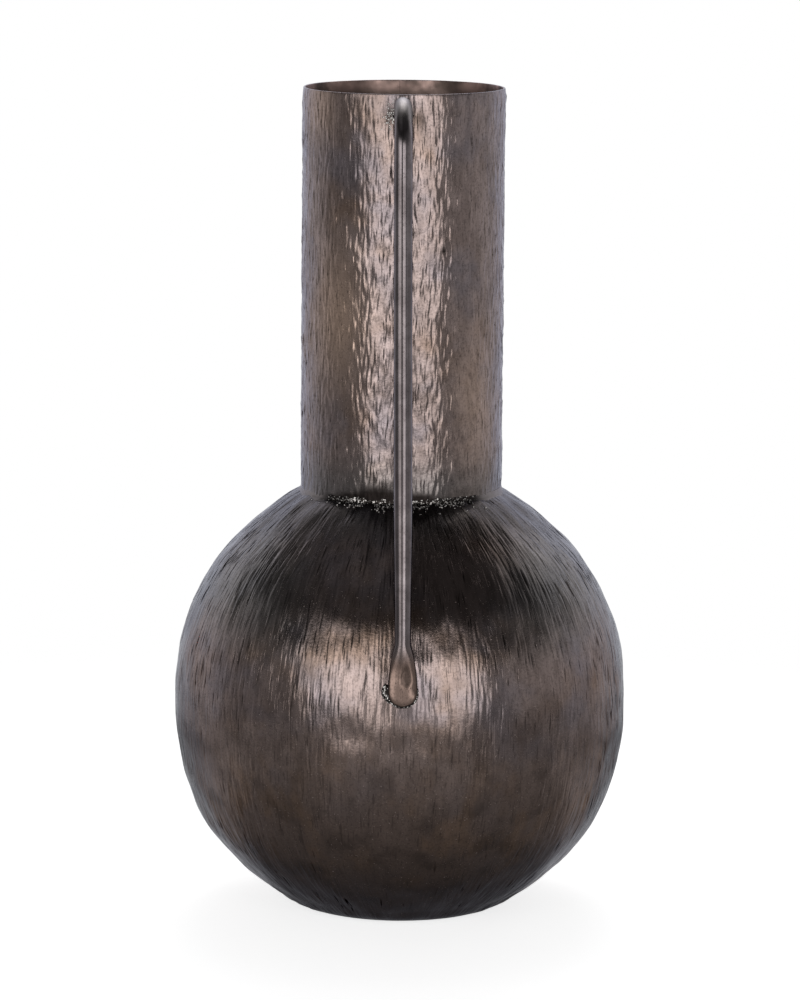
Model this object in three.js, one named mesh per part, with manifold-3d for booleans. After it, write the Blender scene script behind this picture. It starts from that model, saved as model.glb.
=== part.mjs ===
// Hammered metal vase: a ball body, a straight neck and one forged rod handle.
// Millimetres, +Z up. The origin is the centre of the underside, on the vase's axis,
// and the handle stands on the -Y side.
//
// It is built as the real one is: two spun bowls meet at the ball's equator, a spun pan
// closes the bottom, a rolled sheet makes the neck, and a bent rod with one end hammered
// flat makes the handle. Every joint is welded, and each weld is a piece of its own.

import * as THREE from "three";
import { mergeVertices } from "three/addons/utils/BufferGeometryUtils.js";
import Module from "manifold-3d";

const wasm = await Module();
wasm.setup();

// Sheet and joints
const SHEET = 1.0; // thickness of the neck, the bowls and the pan
const JOINT_GAP = 0.3; // root gap between pieces that are welded together

// Ball
const BALL_RADIUS = 101.5; // outside
const SKIRT = 3.5; // straight edge that each bowl has at the equator

// Pan under the ball
const FLAT_RADIUS = 41; // flat that the vase stands on
const KNUCKLE_RADIUS = 20; // outside bend between the flat and the pan's wall
const PAN_WALL_ANGLE = THREE.MathUtils.degToRad(37.5); // slope of the wall above the flat
const PAN_WALL = 4.8; // length of the wall between the knuckle and the lower bowl

// Neck
const NECK_RADIUS = 45; // outside
const NECK_LENGTH = 180;
const NECK_SEAM = 1.6; // width of the butt weld down the back of the neck
const SEAM_PROUD = 0.6; // how far that weld stands inside the neck

// Weld beads
const BEAD_WIDTH = 5; // inside the ball, across the joint
const BEAD_HEIGHT = 1.2; // inside the ball, proud of the wall
const NECK_BEAD = 2.4; // leg of the fillet where the neck meets the ball

// Handle
const ROD_RADIUS = 4;
const ROOT_DROP = 5; // the rod's axis below the rim
const ROOT_RUN = 2; // straight out of the neck before the bend
const BEND_RADIUS = 19; // of the rod's axis
const DRAW_DOWN = 0.35; // the rod is this much thinner just above the paddle
const DRAWN_LENGTH = 58; // from the paddle up to full round stock
const PADDLE_LENGTH = 27; // end hammered flat
const PADDLE_WIDTH = 12.8;
const PADDLE_THICKNESS = 4;
const PADDLE_ROUND = 6; // length of the rounded tip
const PADDLE_WRAP = 4; // how far the tip follows the ball past the tangent point
const PADDLE_SQUARENESS = 3; // 2 is an ellipse in section
const FLAT_SHARE = 0.3; // of the paddle above its tip keeps one thickness

// Weld pools at the handle's two ends
const ROOT_POOL_SPREAD = 4.6; // past the rod all round
const ROOT_POOL_HEIGHT = 3; // proud of the neck
const ROOT_POOL_SAG = 2.5; // middle of the pool below the rod's axis
const RIM_MARGIN = 0.8; // bare edge between the pool and the rim
const FOOT_POOL_SPREAD = 2.2; // past the paddle's sides and tip
const FOOT_POOL_HEIGHT = 1.9; // proud of the ball

// Facets
const ROUND_SEGMENTS = 60;
const BOWL_STEPS = 12;
const KNUCKLE_STEPS = 5;
const BEAD_STEPS = 5;
const ROD_SIDES = 16;
const BEND_STEPS = 10;
const ROD_STEPS = 2;
const DRAWN_STEPS = 4;
const PADDLE_STEPS = 8;
const TIP_STEPS = 5;
const POOL_SEGMENTS = 24;

// Heights that follow from the sizes above
const KNUCKLE_RUN = KNUCKLE_RADIUS * Math.sin(PAN_WALL_ANGLE);
const KNUCKLE_RISE = KNUCKLE_RADIUS * (1 - Math.cos(PAN_WALL_ANGLE));
const PAN_RADIUS = FLAT_RADIUS + KNUCKLE_RUN + PAN_WALL * Math.cos(PAN_WALL_ANGLE);
const PAN_HEIGHT = KNUCKLE_RISE + PAN_WALL * Math.sin(PAN_WALL_ANGLE);
const LOWER_EDGE_RADIUS = PAN_RADIUS + JOINT_GAP * Math.cos(PAN_WALL_ANGLE);
const LOWER_EDGE_Z = PAN_HEIGHT + JOINT_GAP * Math.sin(PAN_WALL_ANGLE);
const LOWER_CENTRE_Z = LOWER_EDGE_Z + legOf(BALL_RADIUS, LOWER_EDGE_RADIUS);
const EQUATOR_Z = LOWER_CENTRE_Z + SKIRT + JOINT_GAP / 2;
const UPPER_CENTRE_Z = EQUATOR_Z + SKIRT + JOINT_GAP / 2;
const NECK_BORE = NECK_RADIUS - SHEET;
const NECK_SEAT_Z = UPPER_CENTRE_Z + legOf(BALL_RADIUS, NECK_BORE) + JOINT_GAP;
const RIM_Z = NECK_SEAT_Z + NECK_LENGTH;

// The rod runs out of the neck, bends down and meets the ball as a tangent, so its lean
// follows from the neck, the bend and the ball.
const ROOT_Z = RIM_Z - ROOT_DROP;
const ROOT_START = NECK_RADIUS + JOINT_GAP;
const BEND_OUT = ROOT_START + ROOT_RUN;
const BEND_UP = ROOT_Z - BEND_RADIUS - UPPER_CENTRE_Z;
const FOOT_RADIUS = BALL_RADIUS + JOINT_GAP + PADDLE_THICKNESS / 2;
const BEND_REACH = Math.hypot(BEND_OUT, BEND_UP);
const LEAN = Math.asin((FOOT_RADIUS - BEND_RADIUS) / BEND_REACH) - Math.atan2(BEND_OUT, BEND_UP);
const TIP_ANGLE = LEAN - PADDLE_WRAP / FOOT_RADIUS; // above the upper bowl's centre
const WAIST_RADIUS = ROD_RADIUS - DRAW_DOWN;
const FORGED_LENGTH = PADDLE_LENGTH + DRAWN_LENGTH;

// Other leg of a right triangle.
function legOf(hypotenuse, leg) {
  return Math.sqrt(hypotenuse ** 2 - leg ** 2);
}

// Points on an arc in a section, which is a list of [radius, height] pairs.
function arc(centre, radius, from, to, steps) {
  return Array.from({ length: steps + 1 }, (_, i) => {
    const angle = from + ((to - from) * i) / steps;
    return [centre[0] + radius * Math.cos(angle), centre[1] + radius * Math.sin(angle)];
  });
}

// A section turned about the vase's axis. The outside goes up and the inside comes down.
function revolve(section) {
  const onAxis = section[0][0] === 0;
  const loop = onAxis ? section : [...section, section[0]];
  const points = loop.map(([radius, height]) => new THREE.Vector2(radius, height));
  return new THREE.LatheGeometry(points, ROUND_SEGMENTS).rotateX(Math.PI / 2);
}

// A ring sector in plan, pushed up to the neck's length. An arc has twice its step count.
function neckSector(inner, from, to, steps) {
  const shape = new THREE.Shape();
  shape.absarc(0, 0, NECK_RADIUS, from, to, false);
  shape.absarc(0, 0, inner, to, from, true);
  shape.closePath();
  return new THREE.ExtrudeGeometry(shape, { depth: NECK_LENGTH, bevelEnabled: false, curveSegments: steps });
}

// A closed skin over rings of points that all have the same count, with flat ends.
function loft(rings) {
  const sides = rings[0].length;
  const points = rings.flat();
  const triangles = [];
  for (let ring = 0; ring + 1 < rings.length; ring++) {
    for (let side = 0; side < sides; side++) {
      const a = ring * sides + side;
      const b = ring * sides + ((side + 1) % sides);
      triangles.push(a, b, a + sides, b, b + sides, a + sides);
    }
  }
  const last = (rings.length - 1) * sides;
  for (let side = 1; side + 1 < sides; side++) {
    triangles.push(0, side + 1, side, last, last + side, last + side + 1);
  }
  return new THREE.BufferGeometry().setFromPoints(points).setIndex(triangles);
}

// A closed geometry as a solid for cutting.
function solidOf(geometry) {
  const bare = new THREE.BufferGeometry().setAttribute("position", geometry.getAttribute("position"));
  bare.setIndex(geometry.getIndex());
  const merged = mergeVertices(bare);
  return new wasm.Manifold(
    new wasm.Mesh({
      numProp: 3,
      vertProperties: merged.getAttribute("position").array,
      triVerts: new Uint32Array(merged.getIndex().array),
    }),
  );
}

// The solid's surface as a geometry again.
function geometryOf(solid) {
  const mesh = solid.getMesh();
  return new THREE.BufferGeometry()
    .setAttribute("position", new THREE.BufferAttribute(mesh.vertProperties, mesh.numProp))
    .setIndex(new THREE.BufferAttribute(mesh.triVerts, 1));
}

// A spun bowl, dome up, about its own centre: a skirt at the equator and a round opening.
function bowlGeometry(openingRadius) {
  const inner = BALL_RADIUS - SHEET;
  const edge = Math.acos(openingRadius / BALL_RADIUS);
  return revolve([
    [BALL_RADIUS, -SKIRT],
    ...arc([0, 0], BALL_RADIUS, 0, edge, BOWL_STEPS),
    ...arc([0, 0], inner, edge, 0, BOWL_STEPS),
    [inner, -SKIRT],
  ]);
}

// The spun pan: a flat bottom, a round knuckle and a short wall that meets the lower bowl.
function panGeometry() {
  const wall = [SHEET * Math.sin(PAN_WALL_ANGLE), -SHEET * Math.cos(PAN_WALL_ANGLE)];
  const centre = [FLAT_RADIUS, KNUCKLE_RADIUS];
  const down = -Math.PI / 2;
  return revolve([
    [0, 0],
    ...arc(centre, KNUCKLE_RADIUS, down, down + PAN_WALL_ANGLE, KNUCKLE_STEPS),
    [PAN_RADIUS, PAN_HEIGHT],
    [PAN_RADIUS - wall[0], PAN_HEIGHT - wall[1]],
    ...arc(centre, KNUCKLE_RADIUS - SHEET, down + PAN_WALL_ANGLE, down, KNUCKLE_STEPS),
    [0, SHEET],
  ]);
}

// A weld bead on the inside of a joint: half an ellipse, flat towards the wall. The slope
// is that of the wall, and the middle lies on the wall's inner face.
function beadGeometry(middle, slope) {
  const along = [Math.cos(slope), Math.sin(slope)];
  const inward = [-Math.sin(slope), Math.cos(slope)];
  const section = arc([0, 0], 1, 0, Math.PI, BEAD_STEPS).map(([x, y]) => {
    const across = (x * BEAD_WIDTH) / 2;
    const proud = JOINT_GAP + y * BEAD_HEIGHT;
    return [
      middle[0] + across * along[0] + proud * inward[0],
      middle[1] + across * along[1] + proud * inward[1],
    ];
  });
  return revolve(section);
}

// The fillet in the corner between the neck and the ball, about the upper bowl's centre.
function neckBeadGeometry() {
  const cover = BALL_RADIUS + JOINT_GAP;
  const inner = NECK_RADIUS + JOINT_GAP;
  const outer = NECK_RADIUS + NECK_BEAD;
  const low = legOf(cover, outer);
  const high = legOf(cover, inner) + NECK_BEAD;
  const face = arc([0, 0], 1, 0, Math.PI / 2, BEAD_STEPS).map(([x, y]) => [
    inner + x * (outer - inner),
    low + y * (high - low),
  ]);
  return revolve([[inner, legOf(cover, inner)], ...face]);
}

// The rod's axis from the neck to the tip, in a plane of distance from the vase's axis and
// height.
function handleAxis() {
  const quarter = Math.PI / 2;
  const path = new THREE.Path();
  path.moveTo(ROOT_START, ROOT_Z);
  path.lineTo(BEND_OUT, ROOT_Z);
  path.absarc(BEND_OUT, ROOT_Z - BEND_RADIUS, BEND_RADIUS, quarter, LEAN, true);
  path.lineTo(FOOT_RADIUS * Math.cos(LEAN), UPPER_CENTRE_Z + FOOT_RADIUS * Math.sin(LEAN));
  path.absarc(0, UPPER_CENTRE_Z, FOOT_RADIUS, LEAN, TIP_ANGLE, true);
  return path;
}

// Half width, half thickness and squareness of the rod at a distance from its tip. A
// squareness of 2 is an ellipse.
function rodSection(fromTip) {
  if (fromTip >= PADDLE_LENGTH) {
    const grow = THREE.MathUtils.smoothstep(fromTip, PADDLE_LENGTH, FORGED_LENGTH);
    const radius = THREE.MathUtils.lerp(WAIST_RADIUS, ROD_RADIUS, grow);
    return [radius, radius, 2];
  }
  const up = Math.max(0, (fromTip - PADDLE_ROUND) / (PADDLE_LENGTH - PADDLE_ROUND));
  const close = Math.max(0, 1 - fromTip / PADDLE_ROUND);
  const width = THREE.MathUtils.lerp(PADDLE_WIDTH / 2, WAIST_RADIUS, up ** 2) * Math.sqrt(1 - close ** 2);
  const swell = THREE.MathUtils.smoothstep(up, FLAT_SHARE, 1);
  const thickness = THREE.MathUtils.lerp(PADDLE_THICKNESS / 2, WAIST_RADIUS, swell);
  return [width, thickness, THREE.MathUtils.lerp(PADDLE_SQUARENESS, 2, up)];
}

// Distances from the tip at which the rod has a ring of points, from the neck down.
function rodStations(length) {
  const spread = (from, to, steps) =>
    Array.from({ length: steps }, (_, i) => THREE.MathUtils.lerp(from, to, i / steps));
  const bendStart = length - ROOT_RUN;
  const bendEnd = bendStart - BEND_RADIUS * (Math.PI / 2 - LEAN);
  const blunt = PADDLE_ROUND / TIP_STEPS ** 2;
  return [
    length,
    ...spread(bendStart, bendEnd, BEND_STEPS),
    ...spread(bendEnd, FORGED_LENGTH, ROD_STEPS),
    ...spread(FORGED_LENGTH, PADDLE_LENGTH, DRAWN_STEPS),
    ...spread(PADDLE_LENGTH, PADDLE_ROUND, PADDLE_STEPS),
    ...spread(PADDLE_ROUND, blunt, TIP_STEPS),
    blunt,
  ];
}

// The rod swept down its axis. Grown, it is larger all round, and deepened it also reaches
// that much further towards the vase, for cutting its seat out of a weld.
function rodGeometry(grown = 0, deepened = 0) {
  const path = handleAxis();
  const length = path.getLength();
  const rings = rodStations(length).map((fromTip) => {
    const at = 1 - fromTip / length;
    const point = path.getPointAt(at);
    const heading = path.getTangentAt(at);
    const [width, thickness, squareness] = rodSection(fromTip);
    return Array.from({ length: ROD_SIDES }, (_, side) => {
      const turn = (2 * Math.PI * side) / ROD_SIDES;
      const [c, s] = [Math.cos(turn), Math.sin(turn)];
      const across = (width + grown) * Math.sign(c) * Math.abs(c) ** (2 / squareness);
      const reach = thickness + grown + (s < 0 ? deepened : 0);
      const out = reach * Math.sign(s) * Math.abs(s) ** (2 / squareness);
      return new THREE.Vector3(across, -(point.x - heading.y * out), point.y + heading.x * out);
    });
  });
  return loft(rings);
}

// A weld pool: a flattened ball of metal, its height along +Z before it is placed.
function poolGeometry(halfWidth, halfLength, height) {
  return new THREE.SphereGeometry(1, POOL_SEGMENTS, POOL_SEGMENTS / 2).scale(halfWidth, halfLength, height);
}

// A solid less all of the cutters, as a geometry.
function cutGeometry(blank, cutters) {
  return geometryOf(cutters.reduce((left, cutter) => left.subtract(solidOf(cutter)), solidOf(blank)));
}

// The pool that holds the rod's upper end to the neck, cut by both and kept below the rim.
function rootPoolGeometry() {
  const half = ROD_RADIUS + ROOT_POOL_SPREAD;
  const pool = poolGeometry(half, half, ROOT_POOL_HEIGHT).rotateX(Math.PI / 2);
  pool.translate(0, -NECK_RADIUS, ROOT_Z - ROOT_POOL_SAG);
  const neck = new THREE.CylinderGeometry(ROOT_START, ROOT_START, RIM_Z, 2 * ROUND_SEGMENTS);
  neck.rotateX(Math.PI / 2).translate(0, 0, RIM_Z);
  const above = new THREE.BoxGeometry(4 * half, 4 * half, 4 * half);
  above.translate(0, -NECK_RADIUS, RIM_Z - RIM_MARGIN + 2 * half);
  const socketRadius = ROD_RADIUS + JOINT_GAP;
  const socket = new THREE.CylinderGeometry(socketRadius, socketRadius, NECK_RADIUS, 2 * ROD_SIDES);
  socket.translate(0, -NECK_RADIUS, ROOT_Z);
  return cutGeometry(pool, [neck, above, socket, rodGeometry(JOINT_GAP)]);
}

// The pool round the paddle's tip, cut by the ball and by the paddle.
function footPoolGeometry() {
  const halfWidth = PADDLE_WIDTH / 2 + FOOT_POOL_SPREAD;
  const halfLength = PADDLE_ROUND + FOOT_POOL_SPREAD;
  const angle = TIP_ANGLE + PADDLE_ROUND / FOOT_RADIUS;
  const pool = poolGeometry(halfWidth, halfLength, FOOT_POOL_HEIGHT).rotateX(Math.PI / 2 - angle);
  pool.translate(0, -BALL_RADIUS * Math.cos(angle), UPPER_CENTRE_Z + BALL_RADIUS * Math.sin(angle));
  const cover = new THREE.SphereGeometry(BALL_RADIUS + JOINT_GAP, 2 * ROUND_SEGMENTS, ROUND_SEGMENTS);
  cover.rotateX(Math.PI / 2).translate(0, 0, UPPER_CENTRE_Z);
  return cutGeometry(pool, [cover, rodGeometry(JOINT_GAP, PADDLE_THICKNESS)]);
}

// Finishes: dark bronze patina on hammered sheet, a smoother rod, and sooty weld metal
const hammeredSheet = new THREE.MeshStandardMaterial({ color: 0x51433c, roughness: 0.42, metalness: 1 });
const drawnRod = new THREE.MeshStandardMaterial({ color: 0x5a4e48, roughness: 0.34, metalness: 1 });
const weldMetal = new THREE.MeshStandardMaterial({ color: 0x332c29, roughness: 0.6, metalness: 1 });

const vase = new THREE.Group();

// Adds a named piece to the vase at a height.
function add(name, geometry, material, z = 0) {
  geometry.computeVertexNormals();
  const mesh = new THREE.Mesh(geometry, material);
  mesh.name = name;
  mesh.position.z = z;
  vase.add(mesh);
  return mesh;
}

// Body
add("base_pan", panGeometry(), hammeredSheet);
add("lower_bowl", bowlGeometry(LOWER_EDGE_RADIUS), hammeredSheet, LOWER_CENTRE_Z).rotation.x = Math.PI;
add("upper_bowl", bowlGeometry(NECK_BORE), hammeredSheet, UPPER_CENTRE_Z);

// Neck: a sheet rolled into a tube and closed down the back by a butt weld
const back = Math.PI / 2;
const seamAngle = NECK_SEAM / 2 / NECK_RADIUS;
const slitAngle = (NECK_SEAM / 2 + JOINT_GAP) / NECK_RADIUS;
const around = 2 * Math.PI;
const tube = neckSector(NECK_BORE, back + slitAngle, back - slitAngle + around, ROUND_SEGMENTS / 2);
const seam = neckSector(NECK_BORE - SEAM_PROUD, back - seamAngle, back + seamAngle, 1);
add("neck_sheet", tube, hammeredSheet, NECK_SEAT_Z);
add("neck_seam_weld", seam, weldMetal, NECK_SEAT_Z);

// Round welds: inside the ball at the pan and at the equator, outside where the neck stands
const panJoint = [
  (PAN_RADIUS + LOWER_EDGE_RADIUS) / 2 - SHEET * Math.sin(PAN_WALL_ANGLE),
  (PAN_HEIGHT + LOWER_EDGE_Z) / 2 + SHEET * Math.cos(PAN_WALL_ANGLE),
];
add("base_weld", beadGeometry(panJoint, PAN_WALL_ANGLE), weldMetal);
add("equator_weld", beadGeometry([BALL_RADIUS - SHEET, 0], Math.PI / 2), weldMetal, EQUATOR_Z);
add("neck_weld", neckBeadGeometry(), weldMetal, UPPER_CENTRE_Z);

// Handle and the welds at its two ends
add("handle", rodGeometry(), drawnRod);
add("handle_root_weld", rootPoolGeometry(), weldMetal);
add("handle_foot_weld", footPoolGeometry(), weldMetal);

export default vase;
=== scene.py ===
"""Dresses the hammered bronze vase: a ball body, a straight neck and one forged rod handle.

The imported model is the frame. The sheet, the rod and the outer welds are modelled again here
at their own sizes, with the hammer marks as real relief, and each one replaces its node. The
two welds inside the ball keep their solids and get a finish.
"""

from __future__ import annotations

import logging
import math
from collections.abc import Callable, Iterator, Sequence
from dataclasses import dataclass
from enum import Enum

import bpy
import numpy as np
from mathutils import Matrix, Vector


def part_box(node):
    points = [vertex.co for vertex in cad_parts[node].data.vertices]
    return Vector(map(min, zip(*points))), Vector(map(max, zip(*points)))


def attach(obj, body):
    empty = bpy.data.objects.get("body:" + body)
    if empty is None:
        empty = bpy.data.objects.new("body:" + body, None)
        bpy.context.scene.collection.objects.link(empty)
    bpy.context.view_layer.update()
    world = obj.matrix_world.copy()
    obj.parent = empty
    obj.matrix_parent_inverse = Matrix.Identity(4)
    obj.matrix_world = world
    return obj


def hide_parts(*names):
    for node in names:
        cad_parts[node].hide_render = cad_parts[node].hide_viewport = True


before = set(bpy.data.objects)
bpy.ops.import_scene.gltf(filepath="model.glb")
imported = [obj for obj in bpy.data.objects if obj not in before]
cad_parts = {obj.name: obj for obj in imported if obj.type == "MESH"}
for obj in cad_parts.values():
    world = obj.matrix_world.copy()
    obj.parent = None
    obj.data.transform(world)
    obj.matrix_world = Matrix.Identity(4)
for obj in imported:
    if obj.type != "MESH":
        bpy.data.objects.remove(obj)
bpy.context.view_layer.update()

MM = 0.001
TURN = 2 * math.pi
FRONT = -TURN / 4
MERGE = 1e-6
SECTORS = 40
MIX_A, MIX_B, MIX_OUT = 6, 7, 2
LOG = logging.getLogger("vase")
# A face turned this far inwards lies on the inner side of its sheet.
INWARD = -0.3

Point = tuple[float, float]
Size = tuple[float, float, float]
Colour = tuple[float, float, float, float]
Piece = bpy.types.Object
Socket = bpy.types.NodeSocket
Outputs = bpy.types.bpy_prop_collection


def mm(*sizes: float) -> tuple[float, ...]:
    """Turns sizes in millimetres into metres."""
    return tuple(size * MM for size in sizes)


class Mark(str, Enum):
    """Point attributes that carry the surface marks to the finishes."""

    GRAIN = "grain"
    CREASE = "crease"
    # How far the chisel lines show on the sheet, and where the rod is beaten flat.
    HAMMERED = "hammered"
    # Bright grains of a weld, thin patina on the neck, and the dull bend of the rod, whose lighter colour is
    # a painted highlight.
    CRUST = "crust"
    # Soot and scorch near the welds; on the rod also painted shade and a painted highlight.
    SOOT_AND_SHADE = "soot"


class Slot(str, Enum):
    """Material slots of the record."""

    SHEET = "hammered_sheet"
    ROD = "handle_rod"
    WELD = "weld_metal"


class Join(Enum):
    """Ways to make one share of several."""

    PRODUCT = "MULTIPLY"
    SUM = "ADD"


def linear(code: str) -> Colour:
    """Turns an sRGB hex colour into linear light.

    Args:
        code: colour such as "#75655b".

    Returns:
        Linear red, green and blue, and full alpha.
    """
    channels = [int(code[i : i + 2], 16) / 255 for i in (1, 3, 5)]
    return (*(c / 12.92 if c <= 0.04045 else ((c + 0.055) / 1.055) ** 2.4 for c in channels), 1.0)


def deselect() -> None:
    """Leaves edit mode and selects nothing."""
    if bpy.context.object is not None and bpy.context.object.mode != "OBJECT":
        bpy.ops.object.mode_set(mode="OBJECT")
    bpy.ops.object.select_all(action="DESELECT")


def named(name: str) -> Piece:
    """Names the object that an operator has just added.

    Args:
        name: name of the object and of its mesh.

    Returns:
        The object.
    """
    piece = bpy.context.object
    piece.name = piece.data.name = name
    return piece


def points_of(piece: Piece) -> np.ndarray:
    """Reads the vertices of a piece.

    Args:
        piece: mesh object.

    Returns:
        Rows of x, y and z.
    """
    flat = np.empty(len(piece.data.vertices) * 3, np.float32)
    piece.data.vertices.foreach_get("co", flat)
    return flat.reshape(-1, 3).astype(np.float64)


def set_points(piece: Piece, points: np.ndarray) -> None:
    """Writes the vertices of a piece back."""
    piece.data.vertices.foreach_set("co", points.astype(np.float32).ravel())
    piece.data.update()


def set_mark(piece: Piece, name: Mark, values: np.ndarray) -> None:
    """Stores a point attribute.

    Args:
        piece: mesh object.
        name: attribute to make.
        values: one number a point, or one row of three.
    """
    kind, key = ("FLOAT_VECTOR", "vector") if values.ndim == 2 else ("FLOAT", "value")
    layer = piece.data.attributes.new(name.value, kind, "POINT")
    layer.data.foreach_set(key, values.astype(np.float32).ravel())


def smoothstep(low: float, high: float, value: np.ndarray) -> np.ndarray:
    """Eases from 0 at low to 1 at high."""
    t = np.clip((value - low) / (high - low), 0, 1)
    return t * t * (3 - 2 * t)


def bell(middle: float, reach: float, value: np.ndarray) -> np.ndarray:
    """Falls off softly from 1 on both sides of a middle."""
    return np.exp(-(((value - middle) / reach) ** 2))


def polar(radial: np.ndarray | float, azimuth: np.ndarray, height: np.ndarray) -> np.ndarray:
    """Rows of x, y and z for points at a distance from the axis, an azimuth and a height."""
    return np.stack([radial * np.cos(azimuth), radial * np.sin(azimuth), height], 1)


def crowded(points: np.ndarray, crowd: float) -> tuple[np.ndarray, np.ndarray]:
    """Draws the columns of a spun mesh together at the front, where the marks are seen best.

    Args:
        points: rows of x, y and z.
        crowd: how much the columns move.

    Returns:
        Distance of each point from the axis, and its new azimuth.
    """
    azimuth = np.arctan2(points[:, 1], points[:, 0])
    return np.hypot(points[:, 0], points[:, 1]), azimuth - crowd * np.sin(azimuth - FRONT)


def activate(piece: Piece) -> None:
    """Selects one piece alone and makes it the active one.

    Args:
        piece: any object of the scene.
    """
    deselect()
    piece.select_set(True)
    bpy.context.view_layer.objects.active = piece


def settle(piece: Piece, slot: Slot, nodes: Sequence[str], angle: float = 40) -> None:
    """Smooths a finished piece and ties it to the frame.

    Args:
        piece: finished mesh object, with its place in its mesh.
        slot: material slot of the record; not used.
        nodes: CAD nodes that the piece stands for.
        angle: edges sharper than this stay sharp, in degrees.
    """
    activate(piece)
    bpy.ops.object.shade_smooth_by_angle(angle=math.radians(angle))
    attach(piece, "root")
    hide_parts(*nodes)
    LOG.info("%s: %d faces, for %s", piece.name, len(piece.data.polygons), ", ".join(nodes))


def roughen(piece: Piece, size: float, height: float) -> None:
    """Gives a piece lumps, as metal that has run and set.

    Args:
        piece: mesh object.
        size: width of a lump.
        height: how far the lumps stand out and in, together.
    """
    activate(piece)
    texture = bpy.data.textures.new(piece.name + "_lumps", "CLOUDS")
    texture.noise_scale = size
    lumps = piece.modifiers.new("lumps", "DISPLACE")
    lumps.texture = texture
    lumps.texture_coords = "LOCAL"
    lumps.strength = height
    lumps.mid_level = 0.5
    bpy.ops.object.modifier_apply(modifier=lumps.name)


class Outline:
    """A section in the X-Z plane, drawn with edit-mode operators and spun about the axis."""

    def __init__(self, name: str, start: Point) -> None:
        """Starts a section.

        Args:
            name: name of the piece.
            start: radius and height of its first point.
        """
        deselect()
        bpy.ops.mesh.primitive_plane_add(size=MM)
        self.piece = named(name)
        bpy.ops.object.mode_set(mode="EDIT")
        bpy.ops.mesh.select_mode(type="VERT")
        bpy.ops.mesh.select_all(action="SELECT")
        bpy.ops.mesh.merge(type="CENTER")
        bpy.ops.transform.translate(value=(start[0], 0, start[1]))
        self.end = start

    def line(self, end: Point, steps: int = 1) -> None:
        """Extrudes the section straight to a point.

        Args:
            end: radius and height to reach.
            steps: number of equal steps.
        """
        step = ((end[0] - self.end[0]) / steps, 0, (end[1] - self.end[1]) / steps)
        for _ in range(steps):
            bpy.ops.mesh.extrude_region_move(TRANSFORM_OT_translate={"value": step})
        self.end = end

    def arc(self, centre: Point, angle: float, steps: int) -> None:
        """Spins the section's end round a centre.

        Args:
            centre: radius and height of the centre.
            angle: turn from +X towards +Z.
            steps: number of equal steps.
        """
        axis = (0, math.copysign(1, angle), 0)
        bpy.ops.mesh.spin(steps=steps, angle=abs(angle), center=(centre[0], 0, centre[1]), axis=axis)
        across, up = self.end[0] - centre[0], self.end[1] - centre[1]
        c, s = math.cos(angle), math.sin(angle)
        self.end = (centre[0] + across * c - up * s, centre[1] + across * s + up * c)

    def spin(self, columns: int, sweep: float = TURN, first: float = 0.0) -> Piece:
        """Turns the closed section about the vase's axis: one sector, then copies of it.

        Args:
            columns: steps round the axis, a multiple of the number of sectors.
            sweep: angle that the piece covers.
            first: angle at which it starts, from +X towards +Y.

        Returns:
            The piece, with shared points merged and faces pointing out.
        """
        sectors = SECTORS if columns > SECTORS else 1
        turned = {"center": (0, 0, 0), "axis": (0, 0, -1)}
        bpy.ops.mesh.select_all(action="SELECT")
        bpy.ops.mesh.spin(steps=columns // sectors, angle=sweep / sectors, **turned)
        if sectors > 1:
            rest = sweep * (sectors - 1) / sectors
            bpy.ops.mesh.select_all(action="SELECT")
            bpy.ops.mesh.spin(steps=sectors - 1, dupli=True, angle=rest, **turned)
        bpy.ops.mesh.select_all(action="SELECT")
        bpy.ops.mesh.remove_doubles(threshold=MERGE)
        if sweep < TURN:
            bpy.ops.mesh.fill_holes(sides=0)
            bpy.ops.mesh.select_all(action="SELECT")
            bpy.ops.transform.rotate(value=-first, orient_axis="Z", center_override=(0, 0, 0))
        bpy.ops.mesh.normals_make_consistent(inside=False)
        bpy.ops.object.mode_set(mode="OBJECT")
        return self.piece


@dataclass(frozen=True)
class Blow:
    """One blow on a wall: the part of the map that it covers, and the blow's own coordinates."""

    window: tuple[np.ndarray, np.ndarray]
    aside: np.ndarray
    up: np.ndarray
    width: float
    length: float


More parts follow.
